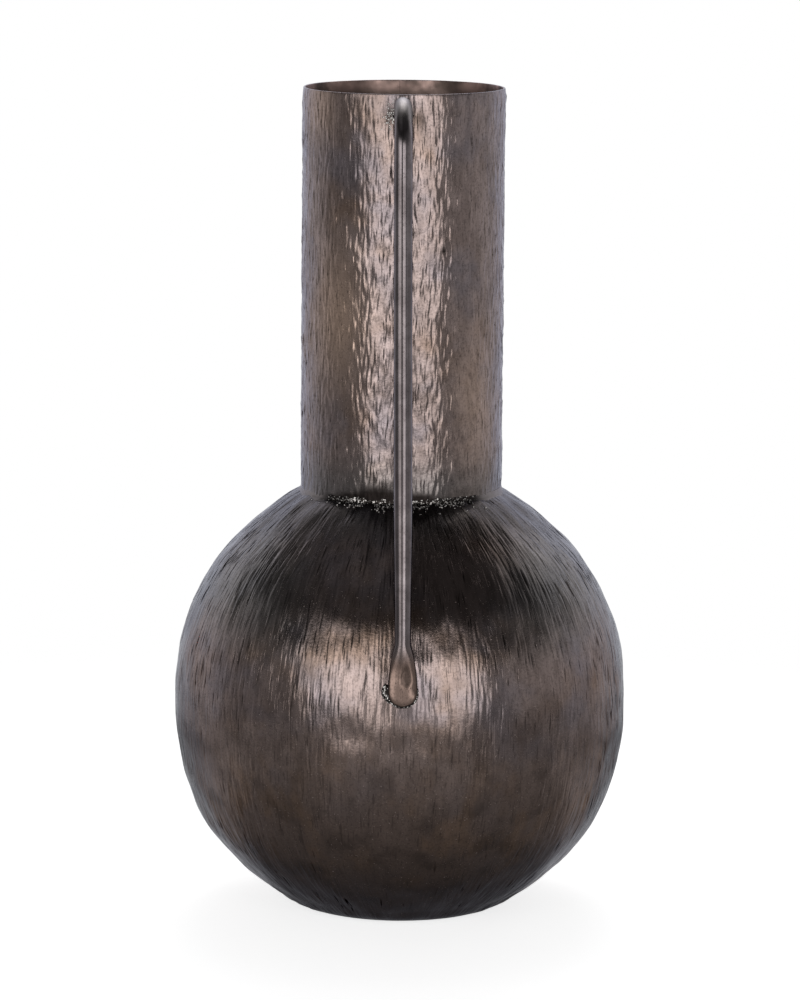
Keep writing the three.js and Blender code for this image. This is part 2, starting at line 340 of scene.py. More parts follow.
@dataclass(frozen=True)
class HammerMarks:
    """Relief that a narrow hammer leaves: long lens-shaped facets with sharp valleys between.

    The marks lie on a map of azimuth and length along the wall, so pieces that share a wall
    share its marks.
    """

    seed: int
    low: float
    high: float
    girth: Callable[[np.ndarray], np.ndarray]
    half_width: Point
    half_length: Point
    cover: float
    cant: float
    depth: float
    sway: float
    sway_length: float = 20 * MM
    tilt: float = 0.05
    rake: float = 0.012
    columns: int = 2400
    row: float = 0.5 * MM
    margin: float = 1.2
    crown: Point = (0.5, 1.3)
    reach: float = 1.3
    sharpest: float = 0.96
    cut_width: Point = mm(0.35, 0.6)
    cut_length: Point = mm(1.5, 6)
    cut_depth: Point = mm(0.06, 0.17)
    cut_area: float = 16 * MM * MM

    def blank(self) -> np.ndarray:
        """An empty map, one row a step along the wall and one column a step round it."""
        return np.zeros((int((self.high - self.low) / self.row) + 2, self.columns))

    def blows(
        self, rng: np.random.Generator, each: float, half_width: Point, half_length: Point
    ) -> Iterator[Blow]:
        """Places blows at random over the wall, each with its own size and tilt.

        Args:
            rng: source of the places and sizes.
            each: area of the wall for each blow.
            half_width: smallest and largest half width of a blow.
            half_length: smallest and largest half length of a blow.

        Yields:
            One blow after another.
        """
        along = self.low + self.row * np.arange(len(self.blank()))
        radius = self.girth(along)
        share = np.cumsum(radius) / np.sum(radius)
        step = TURN / self.columns
        for _ in range(int(np.sum(radius) * TURN * self.row / each)):
            row = int(np.searchsorted(share, rng.random()))
            azimuth = rng.random() * TURN
            width, length = rng.uniform(*half_width), rng.uniform(*half_length)
            tilt = rng.normal(0, self.tilt)
            reach = int(length / self.row)
            picked = np.arange(max(0, row - reach), min(len(along), row + reach + 1))
            up = (along[picked] - along[row])[:, None]
            spread = int((self.margin * width + abs(tilt) * length) / (radius[row] * step)) + 1
            round_it = np.arange(-spread, spread + 1) + int(azimuth / step)
            aside = ((round_it * step - azimuth) * radius[row])[None, :] - tilt * up
            window = np.ix_(picked, round_it % self.columns)
            yield Blow(window, aside, up, width, length)

    def facets(self) -> np.ndarray:
        """Strikes the facets one by one.

        Returns:
            Height map of the facets.
        """
        rng = np.random.default_rng(self.seed)
        each = math.pi * np.mean(self.half_width) * np.mean(self.half_length) / self.cover
        height = self.blank()
        for blow in self.blows(rng, each, self.half_width, self.half_length):
            lens = (blow.aside / blow.width) ** 2 + (blow.up / blow.length) ** 2
            crown = self.depth * rng.uniform(*self.crown) * (1 - lens**2)
            face = crown + rng.normal(0, self.cant) * blow.aside + rng.normal(0, self.rake) * blow.up
            height[blow.window] = np.maximum(height[blow.window], np.where(lens < self.reach, face, 0))
        return height

    def cuts(self, density: np.ndarray) -> np.ndarray:
        """Cuts thin chisel strokes into the wall.

        Args:
            density: map of how many of the strokes are cut, from 0 to 1.

        Returns:
            Depth map of the strokes.
        """
        rng = np.random.default_rng(self.seed + 2)
        depth = self.blank()
        for blow in self.blows(rng, self.cut_area, self.cut_width, self.cut_length):
            stroke = np.maximum(1 - np.abs(blow.aside) / blow.width, 0) * (1 - (blow.up / blow.length) ** 2)
            stroke = stroke * rng.uniform(*self.cut_depth) * (rng.random() < density[blow.window].mean())
            depth[blow.window] = np.maximum(depth[blow.window], stroke)
        return depth

    def creases(self, height: np.ndarray) -> np.ndarray:
        """Finds the sharp valleys between facets.

        Args:
            height: map of the facets.

        Returns:
            Map of the valleys, 1 where they are sharpest.
        """
        bend = np.maximum(np.roll(height, 1, 1) + np.roll(height, -1, 1) - 2 * height, 0)
        bend = np.roll(bend, 1, 1) + bend + np.roll(bend, -1, 1)
        return np.clip(bend / np.quantile(bend, self.sharpest), 0, 1)

    def undulation(self, rows: int) -> np.ndarray:
        """Makes the slow unevenness of a wall worked by hand.

        Args:
            rows: number of rows of the map.

        Returns:
            Height map with a spread of about the sway.
        """
        rng = np.random.default_rng(self.seed + 1)
        noise = np.fft.rfft2(rng.normal(size=(2 * rows, self.columns)))
        girth = TURN * float(np.max(self.girth(np.linspace(self.low, self.high, 9))))
        fall = np.fft.fftfreq(2 * rows, self.row)[:, None]
        turn = np.fft.rfftfreq(self.columns, girth / self.columns)[None, :]
        noise *= np.exp(-((fall**2 + turn**2) * self.sway_length**2))
        smooth = np.fft.irfft2(noise, s=(2 * rows, self.columns))[:rows]
        return self.sway * smooth / smooth.std()

    def sample(self, chart: np.ndarray, azimuth: np.ndarray, along: np.ndarray) -> np.ndarray:
        """Reads a map at points of the wall.

        Args:
            chart: map made by this class.
            azimuth: angle of each point round the axis.
            along: length of each point along the wall.

        Returns:
            Map values, eased between the map's own points.
        """
        column = (azimuth % TURN) / TURN * self.columns
        row = np.clip((along - self.low) / self.row, 0, len(chart) - 1.001)
        left, lower = column.astype(int), row.astype(int)
        c, r = column - left, row - lower
        right = (left + 1) % self.columns
        left = left % self.columns
        near = chart[lower, left] * (1 - c) + chart[lower, right] * c
        far = chart[lower + 1, left] * (1 - c) + chart[lower + 1, right] * c
        return near * (1 - r) + far * r


@dataclass(frozen=True)
class Mask:
    """A share from a pattern, eased from base at low to top at high, or taken as it is."""

    source: str
    low: float | None = None
    high: float = 1.0
    top: float = 1.0
    base: float = 0.0
    smooth: bool = True


@dataclass(frozen=True)
class Pattern:
    """Soft noise with patches of a size, on the piece or along its grain."""

    size: float | Size
    detail: float = 2.0
    along_grain: bool = False
    gain: float = 0.55


@dataclass(frozen=True)
class Mixture:
    """A pattern made of others."""

    masks: tuple[Mask, ...]
    join: Join = Join.PRODUCT


@dataclass(frozen=True)
class Coat:
    """One colour of a finish, laid where its mask says, and only within a second one if it has it."""

    name: str
    colour: str
    mask: Mask
    within: Mask | None = None


Recipes = dict[str, Pattern | Mixture]


class Graph:
    """A node tree in the making, whose patterns have names."""

    def __init__(self, owner: bpy.types.ID, recipes: Recipes) -> None:
        """Starts with an empty tree.

        Args:
            owner: material, world or lamp that takes the nodes.
            recipes: patterns, each made when it is first asked for.
        """
        owner.use_nodes = True
        self.tree = owner.node_tree
        self.tree.nodes.clear()
        self.recipes = recipes
        self.sockets: dict[str, Socket] = {}

    def add(self, kind: str, inputs: dict | None = None, **settings: object) -> Outputs:
        """Adds a node with its settings and links.

        Args:
            kind: Blender's name of the node type, after "ShaderNode".
            inputs: socket name or number to a plain value, or to the output socket that feeds it.
            **settings: properties of the node itself.

        Returns:
            The output sockets of the node.
        """
        node = self.tree.nodes.new("ShaderNode" + kind)
        for name, value in settings.items():
            setattr(node, name, value)
        for socket, value in (inputs or {}).items():
            if isinstance(value, Socket):
                self.tree.links.new(value, node.inputs[socket])
            else:
                node.inputs[socket].default_value = value
        return node.outputs

    def socket(self, name: str) -> Socket:
        """Finds a pattern, or makes it by its recipe.

        Args:
            name: name of a pattern. One without a recipe is a mark of the mesh.

        Returns:
            Socket of the pattern.
        """
        if name in self.sockets:
            return self.sockets[name]
        recipe = self.recipes.get(name)
        if isinstance(recipe, Mixture):
            made = self.share(recipe.masks, recipe.join)
        elif isinstance(recipe, Pattern):
            sizes = (recipe.size,) * 3 if isinstance(recipe.size, float) else recipe.size
            along = self.socket(Mark.GRAIN.value if recipe.along_grain else "place")
            scaled = self.add("Mapping", {"Vector": along, "Scale": tuple(1 / size for size in sizes)})
            fine = {"Vector": scaled["Vector"], "Scale": 1.0}
            fine |= {"Detail": recipe.detail, "Roughness": recipe.gain}
            made = self.add("TexNoise", fine)["Fac"]
        else:
            mark = self.add("Attribute", attribute_name=name)
            made = mark["Vector" if name == Mark.GRAIN.value else "Fac"]
        self.sockets[name] = made
        return made

    def share(self, masks: Sequence[Mask], join: Join = Join.PRODUCT) -> Socket:
        """Makes one share of one or more masks.

        Args:
            masks: shares to join, one after another.
            join: whether they are multiplied or added.

        Returns:
            Socket of the share.
        """
        joined = None
        for mask in masks:
            value = self.socket(mask.source)
            if mask.low is not None:
                span = {"Value": value, "From Min": mask.low, "From Max": mask.high}
                span |= {"To Min": mask.base, "To Max": mask.top}
                way = "SMOOTHSTEP" if mask.smooth else "LINEAR"
                value = self.add("MapRange", span, interpolation_type=way)["Result"]
            if joined is not None:
                value = self.add("Math", {0: joined, 1: value}, operation=join.value)["Value"]
            joined = value
        return joined

    def painted(self, colour: Colour, coats: Sequence[Coat]) -> Socket | Colour:
        """Lays coats over a colour, one after another.

        Args:
            colour: colour under the coats.
            coats: coats from the lowest up.

        Returns:
            Socket of the colour, or the colour itself where there is no coat.
        """
        for coat in coats:
            share = self.share([mask for mask in (coat.mask, coat.within) if mask])
            mixed = {0: share, MIX_A: colour, MIX_B: linear(coat.colour)}
            colour = self.add("Mix", mixed, data_type="RGBA", label=coat.name)[MIX_OUT]
        return colour


# At a glance a dark patina reflects less than bare metal would, and a little bluer.
EDGE = "#d6d9e6"


@dataclass(frozen=True)
class Finish:
    """A metal finish: coats of colour over a base, roughness and fine relief.

    The relief lists patterns with the height that each one has, below 0 where it is cut in.
    """

    name: str
    base: str
    recipes: Recipes
    coats: tuple[Coat, ...]
    rough: tuple[Mask, ...]
    relief: tuple[tuple[str, float], ...]
    edge_coats: tuple[Coat, ...] = ()

    def material(self) -> bpy.types.Material:
        """Builds the finish.

        Returns:
            Its material.
        """
        material = bpy.data.materials.new(self.name)
        graph = Graph(material, self.recipes)
        place = graph.add("TexCoord")["Object"]
        axes = graph.add("SeparateXYZ", {"Vector": place})
        aside = graph.add("Math", {0: axes["X"]}, operation="ABSOLUTE")["Value"]
        graph.sockets = {"place": place, "height": axes["Z"], "aside": aside}
        values = {
            "Metallic": 1.0,
            "Base Color": graph.painted(linear(self.base), self.coats),
            "Roughness": graph.share(self.rough, Join.SUM),
            "Specular Tint": graph.painted(linear(EDGE), self.edge_coats),
        }
        normal: dict[str, Socket] = {}
        for source, height in self.relief:
            raised = {"Height": graph.socket(source), "Distance": height, "Strength": 1.0, **normal}
            normal = {"Normal": graph.add("Bump", raised)["Normal"]}
        shader = graph.add("BsdfPrincipled", values | normal)
        graph.add("OutputMaterial", {"Surface": shader["BSDF"]})
        return material


PATINA = "#2b2624"
GROOVE = "#1a1716"
WARM = "#85694f"
# Heights over which the ball is painted darker towards the bottom, as shade; rust and mottle lie in the same
# band.
BELLY = mm(140, 40)
FOOT = mm(55, 8)

# Bronze sheet, hammered with a narrow peen and darkened with a brown-black patina. The facets are
# rubbed back to a rosy brown, the patina stays in the valleys and in thin chisel lines, and a satin
# gloss spreads each reflection over a few degrees. Brushing and grit are really about a tenth of a
# millimetre wide, and brush, speck and sparkle are drawn as coarse as they need to show.
HAMMERED_BRONZE = Finish(
    name="hammered_bronze_patina",
    base="#887974",
    recipes={
        "brush": Pattern(mm(0.5, 0.5, 7), 2.0, True),
        "speck": Pattern(1.0 * MM),
        "sparkle": Pattern(0.7 * MM),
        "patch": Pattern(mm(5, 5, 11), 3.0, True),
        "stroke": Pattern(mm(0.95, 0.95, 11), 1.0, True),
        "furrow": Pattern(mm(1.5, 1.5, 13), 1.0, True),
        "cluster": Pattern(16 * MM, 1.0),
        "blotch": Pattern(34 * MM, 3.0),
        "veil": Pattern(27.2 * MM, 3.0),
        "rust": Pattern(mm(17, 17, 26), 3.0),
        "mottle": Pattern(13 * MM, 3.0),
        "shoulder": Mixture((Mask("height", 118 * MM, 155 * MM), Mask("aside", 28 * MM, 65 * MM, 0.75))),
        "heated": Mixture((Mask("height", 170 * MM, 186 * MM), Mask("height", 216 * MM, 194 * MM, 0.7))),
        "chisel": Mixture((Mask("cluster", 0.4, 0.6, 1.0, 0.2), Mask("hammered"))),
        "lines": Mixture((Mask("stroke", 0.61, 0.66), Mask("chisel"))),
        "grooves": Mixture((Mask("furrow", 0.6, 0.67, 0.8), Mask("shoulder"))),
        "glint": Mixture((Mask("sparkle", 0.66, 0.76),)),
        "scratches": Mixture((Mask("lines"), Mask("grooves")), Join.SUM),
        "hollows": Mixture((Mask("grooves"), Mask("crease")), Join.SUM),
    },
    coats=(
        Coat("worn", "#978782", Mask("patch", 0.35, 0.65)),
        Coat("warm", WARM, Mask("blotch", 0.5, 0.75, 0.5)),
        Coat("cool", "#7a7780", Mask("veil", 0.3, 0.55, 0.0, 0.5)),
        Coat("grey shoulder", "#918f8d", Mask("shoulder")),
        Coat("heat of the weld", "#706e6d", Mask("heated")),
        Coat("rubbed thin", "#c6ab98", Mask("crust")),
        # The belly and foot coats darken the ball towards the bottom: painted shade, for the dark floor and
        # the vase's own shadow that the lower ball reflects.
        Coat("belly", "#675952", Mask("height", *BELLY, 0.9)),
        Coat("rust on the belly", WARM, Mask("rust", 0.48, 0.7, 0.32), Mask("height", *BELLY)),
        Coat("foot", "#3a322f", Mask("height", *FOOT, 0.9)),
        Coat("mottled belly", PATINA, Mask("mottle", 0.46, 0.7, 0.42), Mask("height", *BELLY)),
        Coat("dark patches", PATINA, Mask("patch", 0.58, 0.4, 0.08)),
        Coat("brush lines", PATINA, Mask("brush", 0.5, 0.8, 0.15)),
        Coat("specks", PATINA, Mask("speck", 0.48, 0.72, 0.32)),
        Coat("glints", "#bdaea8", Mask("glint", 0.0, 1.0, 0.5)),
        Coat("valleys", PATINA, Mask("crease", 0.1, 0.6, 0.85), Mask("height", 130 * MM, 70 * MM, 0.55, 1.0)),
        Coat("chisel lines", PATINA, Mask("lines", 0.0, 1.0, 0.35)),
        Coat("grooves", GROOVE, Mask("grooves")),
        Coat("soot", PATINA, Mask("soot")),
    ),
    rough=(Mask("speck", 0.3, 0.7, 0.22, 0.15), Mask("soot", 0.0, 1.0, 0.25), Mask("glint", 0.0, 1.0, 0.4)),
    relief=(("brush", 0.02 * MM), ("speck", 0.04 * MM), ("scratches", -0.045 * MM)),
    edge_coats=(
        # Lower on the ball the glancing reflection is tinted darker, and at the foot lighter again: painted
        # shade and painted light in what the lower ball reflects of the floor.
        Coat("ball", "#c6ccd3", Mask("height", 190 * MM, 110 * MM)),
        Coat("foot", "#dee0e8", Mask("height", *FOOT)),
        Coat("hollows", GROOVE, Mask("hollows", 0.1, 0.7)),
    ),
)

# The sheet's inner face: bronze, spun or rolled smooth, with a plain brown patina. It has soft
# blotches and faint tool rings, and shows one broad dull highlight. Below the top few millimetres
# it is painted darker, as shade inside the neck.
SPUN_INSIDE = Finish(
    name="spun_bronze_inside",
    base="#5f524c",
    recipes={
        "rings": Pattern(mm(60, 60, 0.7), 1.0),
        "blotch": Pattern(18 * MM, 3.0),
        "dull": Pattern(5.4 * MM),
    },
    coats=(
        Coat("brown", "#c8aaa0", Mask("blotch", 0.35, 0.7)),
        # Painted shade: darker inside the neck below its top six millimetres.
        Coat("painted shade below the rim", "#5f524c", Mask("height", 363 * MM, 369 * MM, 0.0, 1.0)),
    ),
    rough=(Mask("dull", 0.3, 0.7, 0.45, 0.33),),
    relief=(("rings", 0.02 * MM),),
)

# Drawn bronze rod, bent and hammered, then filed and given the same patina. It is smoother and
# glossier than the sheet, so it shows long clean reflections, and its beaten end is coppery. Draw
# lines are finer than this in drawn rod, and are drawn as coarse as they need to show.
FORGED_ROD = Finish(
    name="forged_rod_patina",
    base="#787071",
    recipes={
        "drawn": Pattern(mm(0.35, 0.35, 16), 2.0, True),
        "blotch": Pattern(9 * MM, 3.0),
        "fine": Pattern(1.08 * MM),
        "pit": Pattern(0.54 * MM),
        "pits": Mixture((Mask("pit", 0.66, 0.74), Mask("hammered"))),
    },
    coats=(
        Coat("bright", "#92898a", Mask("blotch", 0.35, 0.7)),
        Coat("copper", "#7f6c63", Mask("hammered")),
        Coat("draw lines", "#2a2421", Mask("drawn", 0.55, 0.75, 0.4)),
        Coat("fine dirt", "#2a2421", Mask("fine", 0.5, 0.8, 0.4)),
        # The bend is rougher, and its lighter colour is a painted highlight.
        Coat("dull bend", "#a9a39f", Mask("crust", 0.0, 1.0, 0.8)),
        # On the rod the soot mark is partly painted shade: along the paddle's edges next to the ball, and
        # down the rod with a painted highlight band right of its middle. Near the tip and in the dimple it is
        # soot.
        Coat("soot", "#2a2421", Mask("soot")),
    ),
    rough=(
        Mask("fine", 0.3, 0.7, 0.18, 0.12),
        Mask("hammered", 0.0, 1.0, 0.16),
        Mask("crust", 0.0, 1.0, 0.3),
    ),
    relief=(("drawn", 0.004 * MM), ("pits", -0.1 * MM)),
)

# Weld metal as it set: sooty and lumpy, with bright grains where it was brushed, and a plain satin
# grey where it was ground flush.
WELD_METAL = Finish(
    name="weld_metal",
    base="#2c2826",
    recipes={
        "lumps": Pattern(0.8 * MM, 3.0),
        "grains": Mixture((Mask("lumps"), Mask("crust", 0.0, 1.0, 0.3)), Join.SUM),
        "uneven": Mixture((Mask("crust", 0.0, 1.0, 1.0, 0.08), Mask("lumps"))),
    },
    coats=(
        Coat("bright grains", "#e2ddd8", Mask("grains", 0.64, 0.74)),
        Coat("ground", "#8a8380", Mask("crust", 0.0, 0.25, 0.0, 1.0)),
    ),
    rough=(Mask("lumps", 0.4, 0.65, 0.4, 0.3), Mask("crust", 0.0, 0.25, 0.0, 0.04)),
    relief=(("uneven", 0.25 * MM),),
)


@dataclass
class Finishes:
    """The finishes of one vase, each made once."""

    sheet: bpy.types.Material
    inside: bpy.types.Material
    rod: bpy.types.Material
    weld: bpy.types.Material

    @classmethod
    def make(cls) -> Finishes:
        """Makes every finish."""
        return cls(*(finish.material() for finish in (HAMMERED_BRONZE, SPUN_INSIDE, FORGED_ROD, WELD_METAL)))


def dress_sheet(piece: Piece, finishes: Finishes, outward: np.ndarray) -> None:
    """Gives a sheet its two faces.

    Args:
        piece: mesh of the sheet.
        finishes: the vase's finishes.
        outward: for each polygon, how far its normal points away from the inside.
    """
    piece.data.materials.append(finishes.sheet)
    piece.data.materials.append(finishes.inside)
    piece.data.polygons.foreach_set("material_index", (outward < INWARD).astype(np.int32))


def face_normals(piece: Piece) -> tuple[np.ndarray, np.ndarray]:
    """Reads the polygons of a piece.

    Args:
        piece: mesh object.

    Returns:
        Middles and normals of the polygons, one row each.
    """
    middles = np.empty(len(piece.data.polygons) * 3, np.float32)
    normals = np.empty_like(middles)
    piece.data.polygons.foreach_get("center", middles)
    piece.data.polygons.foreach_get("normal", normals)
    return middles.reshape(-1, 3), normals.reshape(-1, 3)


@dataclass
class Body:
    """Ball of two spun bowls, closed by a spun pan, with one field of hammer marks."""

    finishes: Finishes
    sheet: float = 1 * MM
    skirt: float = 3.5 * MM
    flat_radius: float = 41 * MM
    knuckle: float = 20 * MM
    wall_angle: float = math.radians(37.5)
    columns: int = 1600
    crowd: float = 0.3
    upper_rows: int = 46
    lower_rows: int = 42
    inner_rows: int = 8
    skirt_rows: int = 2
    knuckle_rows: int = 9
    flat_rows: int = 4
    wall_rows: int = 3
    foot_fade: float = 4 * MM
    swell: float = 1.4 * MM
    swell_at: float = math.radians(-29)
    swell_span: float = math.radians(14)
    drop: float = 1.0 * MM
    drop_at: float = math.radians(49)
    drop_span: float = math.radians(9)
    narrowest: float = 0.08
    cut_clusters: Point = (-0.6, 1.0)
    bare_share: float = 0.85
    bare_span: float = 0.9
    bare_rise: Point = (-0.45, 0.25)
    scorch: Point = mm(3.4, 17)
    scorch_share: float = 0.62
    scorch_at: float = math.radians(-74)
    scorch_span: float = 0.75
    smoke: Point = mm(12.6, 42)
    smoke_share: float = 0.22
    ragged: float = 20

    def __post_init__(self) -> None:
        """Takes the ball's place and size from the frame, and strikes its marks."""
        upper_low, upper_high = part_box("upper_bowl")
        lower_low, lower_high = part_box("lower_bowl")
        pan_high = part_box("base_pan")[1]
        self.radius = upper_high.x
        self.upper_centre = upper_low.z + self.skirt
        self.lower_centre = lower_high.z - self.skirt
        self.equator = (upper_low.z + lower_high.z) / 2
        self.half_skirt = self.upper_centre - self.equator
        self.upper_edge = math.asin((upper_high.z - self.upper_centre) / self.radius)
        self.lower_edge = math.asin((self.lower_centre - lower_low.z) / self.radius)
        edge = (self.radius * math.cos(self.lower_edge), lower_low.z)
        pan_height = pan_high.z - self.sheet * math.cos(self.wall_angle)
        self.pan_joint = ((edge[0] + pan_high.x) / 2, (edge[1] + pan_height) / 2)
        reach = self.half_skirt + self.radius * math.pi / 2
        self.marks = HammerMarks(
            seed=11,
            low=-reach,
            high=reach,
            girth=self.girth,
            half_width=mm(0.45, 1.7),
            half_length=mm(3, 8),
            cover=3.4,
            cant=0.066,
            depth=0.088 * MM,
            sway=0.16 * MM,
            columns=3600,
        )
        self.sway = self.marks.undulation(len(self.marks.blank()))
        self.cuts = self.marks.cuts(self.cut_density())
        self.facets = self.marks.facets() - self.cuts

    def cut_density(self) -> np.ndarray:
        """Spreads the chisel strokes: in clusters, and few on the front of the belly.

        Returns:
            Map of how many of the strokes are cut.
        """
        rows, columns = self.sway.shape
        clusters = smoothstep(*self.cut_clusters, np.roll(self.sway, columns // 3, 1) / self.marks.sway)
        ahead = bell(FRONT + TURN, self.bare_span, TURN * np.arange(columns) / columns)
        rise = np.linspace(self.marks.low, self.marks.high, rows) / self.radius
        below = 1 - smoothstep(*self.bare_rise, rise)
        return clusters * (1 - self.bare_share * below[:, None] * ahead[None, :])

    def girth(self, along: np.ndarray) -> np.ndarray:
        """Radius of the ball at a length along its wall from the equator."""
        angle = np.maximum(np.abs(along) - self.half_skirt, 0) / self.radius
        return self.radius * np.maximum(np.cos(angle), self.narrowest)

    def upper_bowl(self) -> Piece:
        """Draws and spins the upper bowl.

        Returns:
            The bowl.
        """
        inner = self.radius - self.sheet
        outline = Outline("upper_bowl_hammered", (self.radius, self.equator))
        outline.line((self.radius, self.upper_centre), self.skirt_rows)
        outline.arc((0, self.upper_centre), self.upper_edge, self.upper_rows)
        c, s = math.cos(self.upper_edge), math.sin(self.upper_edge)
        outline.line((inner * c, self.upper_centre + inner * s))
        outline.arc((0, self.upper_centre), -self.upper_edge, self.inner_rows)
        outline.line((inner, self.equator))
        outline.line((self.radius, self.equator))
        return outline.spin(self.columns)

    def lower_bowl(self) -> Piece:
        """Draws and spins the lower bowl, down to the pan.

        Returns:
            The bowl.
        """
        inner = self.radius - self.sheet
        outline = Outline("lower_bowl_hammered", (self.radius, self.equator))
        outline.line((inner, self.equator))
        outline.line((inner, self.lower_centre))
        outline.arc((0, self.lower_centre), -self.lower_edge, self.inner_rows)
        outline.line(self.pan_joint)
        c, s = math.cos(self.lower_edge), math.sin(self.lower_edge)
        outline.line((self.radius * c, self.lower_centre - self.radius * s))
        outline.arc((0, self.lower_centre), self.lower_edge, self.lower_rows)
        outline.line((self.radius, self.equator), self.skirt_rows)
        return outline.spin(self.columns)

    def base_pan(self) -> Piece:
        """Draws and spins the pan: flat, knuckle and a short wall.

        Returns:
            The pan.
        """
        centre = (self.flat_radius, self.knuckle)
        c, s = math.cos(self.wall_angle), math.sin(self.wall_angle)
        outline = Outline("base_pan_spun", (0, 0))
        outline.line((self.flat_radius, 0), self.flat_rows)
        outline.arc(centre, self.wall_angle, self.knuckle_rows)
        outline.line(self.pan_joint, self.wall_rows)
        outline.line((self.pan_joint[0] - self.sheet * s, self.pan_joint[1] + self.sheet * c))
        rise = self.knuckle - self.sheet
        outline.line((self.flat_radius + rise * s, self.knuckle - rise * c))
        outline.arc(centre, -self.wall_angle, self.wall_rows)
        outline.line((0, self.sheet), self.flat_rows // 2)
        outline.line((0, 0))
        return outline.spin(self.columns)

    def hammer(self, piece: Piece) -> None:
        """Raises the marks on a piece of the ball, and stores them for the finish.

        Args:
            piece: bowl or pan, as spun.
        """
        points = points_of(piece)
        height = points[:, 2]
        radial, azimuth = crowded(points, self.crowd)
        centre = np.clip(height, self.lower_centre, self.upper_centre)
        rise = height - centre
        angle = np.arctan2(rise, np.maximum(radial, MERGE))
        along = angle * self.radius + (centre - self.equator)
        lift = self.marks.sample(self.facets, azimuth, along) + self.marks.sample(self.sway, azimuth, along)
        form = self.swell * bell(self.swell_at, self.swell_span, angle)
        form -= self.drop * bell(self.drop_at, self.drop_span, angle)
        outer = np.hypot(radial, rise) > self.radius - 0.5 * self.sheet
        pan = height <= self.pan_joint[1]
        marked = np.where(outer | pan, lift, 0) * smoothstep(0.0, self.foot_fade, height)
        outward = polar(radial, azimuth, rise)
        outward /= np.linalg.norm(outward, axis=1, keepdims=True)
        set_points(piece, polar(radial, azimuth, height) + outward * (marked + form)[:, None])
        set_mark(piece, Mark.GRAIN, polar(self.radius, azimuth, along))
        set_mark(piece, Mark.CREASE, self.marks.sample(self.cuts, azimuth, along) / self.marks.cut_depth[1])
        set_mark(piece, Mark.HAMMERED, np.ones(len(points)))
        from_neck = radial - self.radius * math.cos(self.upper_edge) + self.ragged * marked
        from_neck = np.where(rise > 0, from_neck, self.radius)
        scorch = 1 - smoothstep(*self.scorch, from_neck)
        scorch *= self.scorch_share * bell(self.scorch_at, self.scorch_span, azimuth)
        smoke = self.smoke_share * (1 - smoothstep(*self.smoke, from_neck))
        set_mark(piece, Mark.SOOT_AND_SHADE, np.maximum(scorch, smoke))

    def build(self) -> None:
        """Makes the three pieces of the ball and dresses them."""
        makers = {
            "upper_bowl": self.upper_bowl,
            "lower_bowl": self.lower_bowl,
            "base_pan": self.base_pan,
        }
        for node, make in makers.items():
            piece = make()
            self.hammer(piece)
            middles, normals = face_normals(piece)
            middles[:, 2] -= np.clip(middles[:, 2], self.lower_centre, self.upper_centre)
            dress_sheet(piece, self.finishes, np.sum(middles * normals, 1) / self.radius)
            settle(piece, Slot.SHEET, [node])


@dataclass(frozen=True)
class Stain:
    """A soft spot on the front of the neck: its share, its middle and its half size."""

    share: float
    across: float
    down: float
    half_width: float
    half_height: float

    def on(self, across: np.ndarray, down: np.ndarray) -> np.ndarray:
        """Share of the stain at places across the neck and down from its rim, in millimetres."""
        wide = bell(self.across, self.half_width, across)
        return self.share * wide * bell(self.down, self.half_height, down)


# Where the patina is rubbed thin, left and right of the handle.
RUBBED = (Stain(1.0, -28, 98, 9, 30), Stain(0.5, 31, 138, 9, 28), Stain(0.5, -36, 7, 7, 14))
# Scorches on both sides of the handle's root, darker on the left, and one small pit.
SCORCHED = (Stain(0.75, -6, 9, 3.2, 5), Stain(0.5, 7, 11, 2.6, 4.5), Stain(1.8, 17.4, 68.4, 0.9, 1.3))


